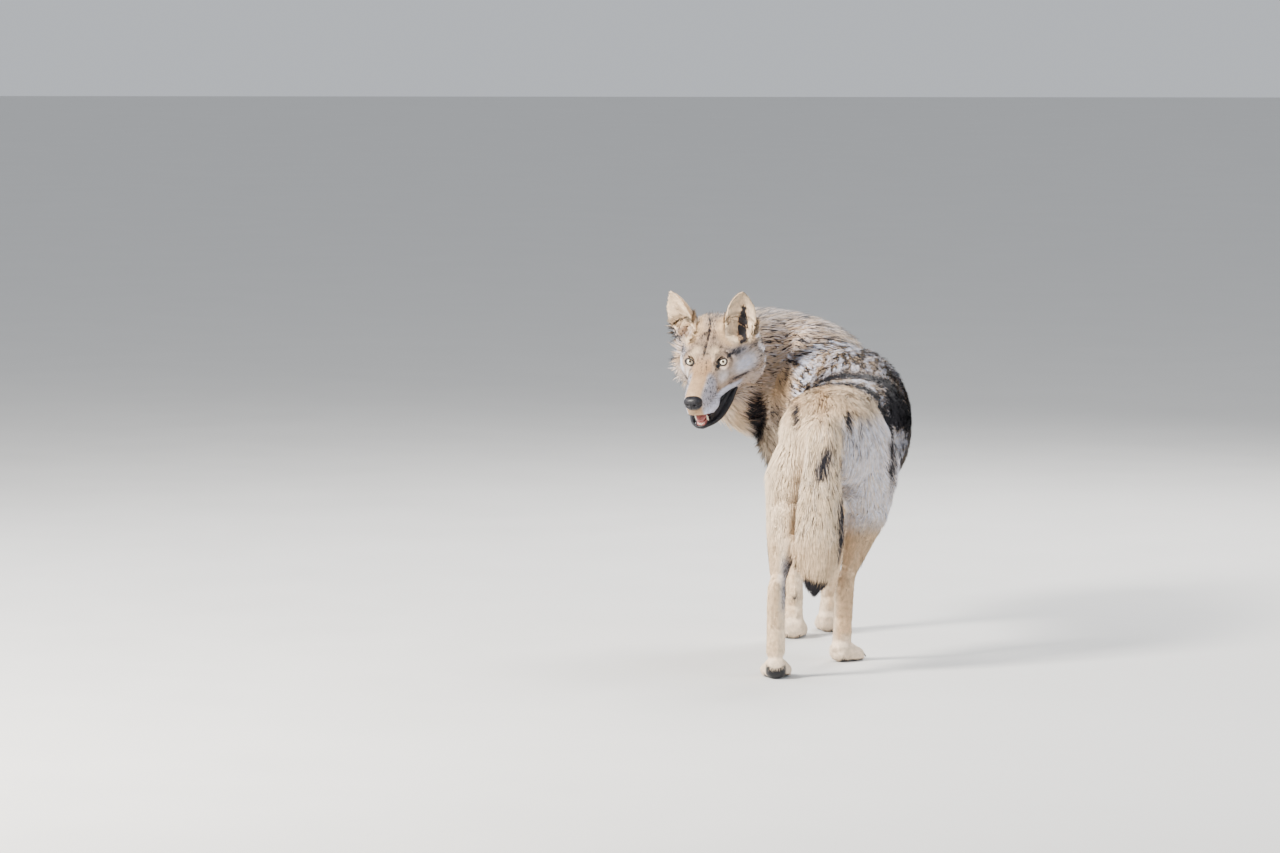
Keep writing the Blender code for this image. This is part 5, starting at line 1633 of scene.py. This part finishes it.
def eye_finish():
    """Round pupil, pale amber iris with spokes and a dark rim, and brownish white, under gloss."""
    material, w, shader = new_material("wet eye")
    place = w.layer("iris")["Color"]
    spokes = w.add("ShaderNodeTexNoise",
                   {"Vector": place, "Scale": 22.0, "Detail": 3.0}).outputs["Fac"]
    wobble = w.calc("MULTIPLY", w.calc("SUBTRACT", spokes, 0.5), 0.012)
    tilt = w.calc("ADD", w.parts(place)[0], wobble)
    colour = ramp(w, tilt, ((0.0, (0.003, 0.003, 0.004)), (0.064, (0.003, 0.003, 0.004)),
                            (0.076, (0.26, 0.17, 0.08)), (0.100, (0.60, 0.51, 0.36)),
                            (0.185, (0.76, 0.70, 0.56)), (0.212, (0.16, 0.11, 0.07)),
                            (0.238, (0.012, 0.009, 0.008)), (0.320, (0.050, 0.035, 0.030))))
    colour = w.mix(1.0, colour, w.grey(w.between(spokes, 0.3, 0.7, 0.80, 1.15)), "MULTIPLY")
    w.feed(shader, {"Base Color": colour, "Roughness": w.between(spokes, 0.2, 0.8, 0.10, 0.20),
                    "Coat Weight": 1.0, "Coat Roughness": 0.03})
    return material


def leather_finish(name, dark, light, lump, roughness, depth, gloss):
    """Bare skin: two near shades over a pebbled surface."""
    material, w, shader = new_material(name)
    place = w.add("ShaderNodeTexCoord").outputs["Object"]
    pebble = w.add("ShaderNodeTexVoronoi", {"Vector": place, "Scale": 1 / lump}).outputs["Distance"]
    cloud = w.grain(lump * 6)
    w.feed(shader, {"Base Color": w.mix(w.between(cloud, 0.3, 0.7), dark, light),
                    "Roughness": w.between(cloud, 0.2, 0.8, roughness - 0.08, roughness + 0.08),
                    "Normal": w.bump(pebble, 0.6, depth, invert=True), "Coat Weight": gloss,
                    "Coat Roughness": 0.25, "Specular IOR Level": 0.25})
    return material


def horn_finish(name, root, tip, roughness):
    """Horn or enamel: two shades in long streaks with a faint bump."""
    material, w, shader = new_material(name)
    streak = w.grain(0.0035, 3.0, (1.0, 1.0, 0.4))
    w.feed(shader, {"Base Color": w.mix(w.between(streak, 0.3, 0.7), root, tip),
                    "Roughness": w.between(streak, 0.2, 0.8, roughness - 0.06, roughness + 0.08),
                    "Normal": w.bump(streak, 0.3, 0.0004)})
    return material


# ---------------------------------------------------------------------------------------------
# Floor, light and camera.

CAMERA_AT = (0.0, 15.7594, 2.0748)      # in the wolf's measure
CAMERA_TURN = (1.470, 5.362)            # to the left of straight ahead, and down, in degrees
CAMERA_LENS = 190.0                     # in millimetres
# The lamps: name, place, side in metres, watts and tint.
LAMPS = (("key", (3.8, 3.0, 3.4), 1.2, 1050, (1.0, 0.95, 0.87)),
         ("fill", (-3.4, 2.6, 1.8), 2.6, 115, (0.88, 0.94, 1.0)),
         ("back", (-1.4, -3.2, 3.4), 2.0, 300, (1.0, 0.98, 0.95)),
         ("side", (3.4, -1.6, 2.2), 2.2, 80, (0.95, 0.97, 1.0)))


def make_stage():
    """A pale floor under a soft key, fill and back light, in a pale room."""
    material, w, shader = new_material("pale floor")
    cloud = w.grain(0.35)
    w.feed(shader, {"Base Color": w.mix(cloud, (0.60, 0.595, 0.585), (0.66, 0.655, 0.645)),
                    "Roughness": w.between(cloud, 0.2, 0.8, 0.75, 0.9)})
    corners = np.array(((-30, -30, 0), (30, -30, 0), (30, 30, 0), (-30, 30, 0)), float)
    floor = put_in_scene("floor", build_mesh("floor", corners, np.arange(4), np.array([0])),
                         material)
    world = bpy.data.worlds.new("room")
    world.use_nodes = True
    Wiring(world.node_tree).feed(world.node_tree.nodes["Background"],
                                 {"Color": (0.86, 0.90, 0.96), "Strength": 0.70})
    bpy.context.scene.world = world
    centre = Vector((0, -0.05, 0.5))
    for name, place, size, power, tint in LAMPS:
        lamp = bpy.data.lights.new(name, "AREA")
        lamp.size, lamp.energy, lamp.color = size, power, tint
        obj = bpy.data.objects.new(name, lamp)
        bpy.context.scene.collection.objects.link(obj)
        obj.location = place
        obj.rotation_euler = (Vector(place) - centre).to_track_quat("Z", "Y").to_euler()


def make_camera():
    """A long lens from behind, a little above the back, that takes the wolf off the middle."""
    lens = bpy.data.cameras.new("camera")
    lens.lens, lens.sensor_width = CAMERA_LENS, 36.0
    lens.clip_start, lens.clip_end = 0.5, 100.0
    camera = bpy.data.objects.new("camera", lens)
    bpy.context.scene.collection.objects.link(camera)
    yaw, pitch = (math.radians(angle) for angle in CAMERA_TURN)
    ahead = Vector((math.sin(yaw) * math.cos(pitch), -math.cos(yaw) * math.cos(pitch),
                    -math.sin(pitch)))
    right = ahead.cross(Vector((0, 0, 1))).normalized()
    place = Matrix((right, right.cross(ahead), -ahead)).transposed().to_4x4()
    place.translation = Vector(CAMERA_AT) + Vector(SHIFT)
    camera.matrix_world = place
    bpy.context.scene.camera = camera


def main():
    group = coat_group()
    skin, points, tris, normals = make_skin(skin_finish(group))
    mount(skin, "trunk", *[node for node in FLESH if node != "nose"])
    for piece in make_coat(points, tris, normals, coat_finish(group)):
        mount(piece, COAT_SLOTS.get(piece.name, "trunk"))
    black = leather_finish("black leather", (0.006, 0.006, 0.008), (0.016, 0.015, 0.019), 0.0014,
                           0.44, 0.0005, 0.12)
    pink = leather_finish("wet pink", (0.34, 0.105, 0.100), (0.50, 0.20, 0.19), 0.0011, 0.38,
                          0.0004, 0.3)
    make_eyes(eye_finish())
    lids = hoop_mesh("eyelids", [lid_grid(side) for side in (1, -1)])
    mount(put_in_scene("eyelids", lids, black), "head")
    add_rings("nose_pad", [nose_grid()], black, "nose", "nose")
    add_rings("tongue_soft", [tongue_grid()], pink, "tongue", "tongue")
    # the black webs between the lips stand partly for the shade inside the open mouth
    lips = [lip_roll(), *(make(side) for side in (1, -1) for make in (lip_edge, lip_web_and_mouth_shade))]
    add_rings("lips", lips, black, "head")
    enamel = horn_finish("enamel", (0.72, 0.64, 0.48), (0.80, 0.76, 0.66), 0.28)
    add_rings("teeth", tooth_grids(), enamel, "jaw")
    make_claws(horn_finish("claw horn", (0.035, 0.028, 0.024), (0.11, 0.085, 0.065), 0.42))
    bristle = horn_finish("whisker", (0.02, 0.018, 0.018), (0.06, 0.05, 0.045), 0.45)
    add_rings("whiskers", whisker_grids(), bristle, "head")
    make_stage()
    make_camera()


main()
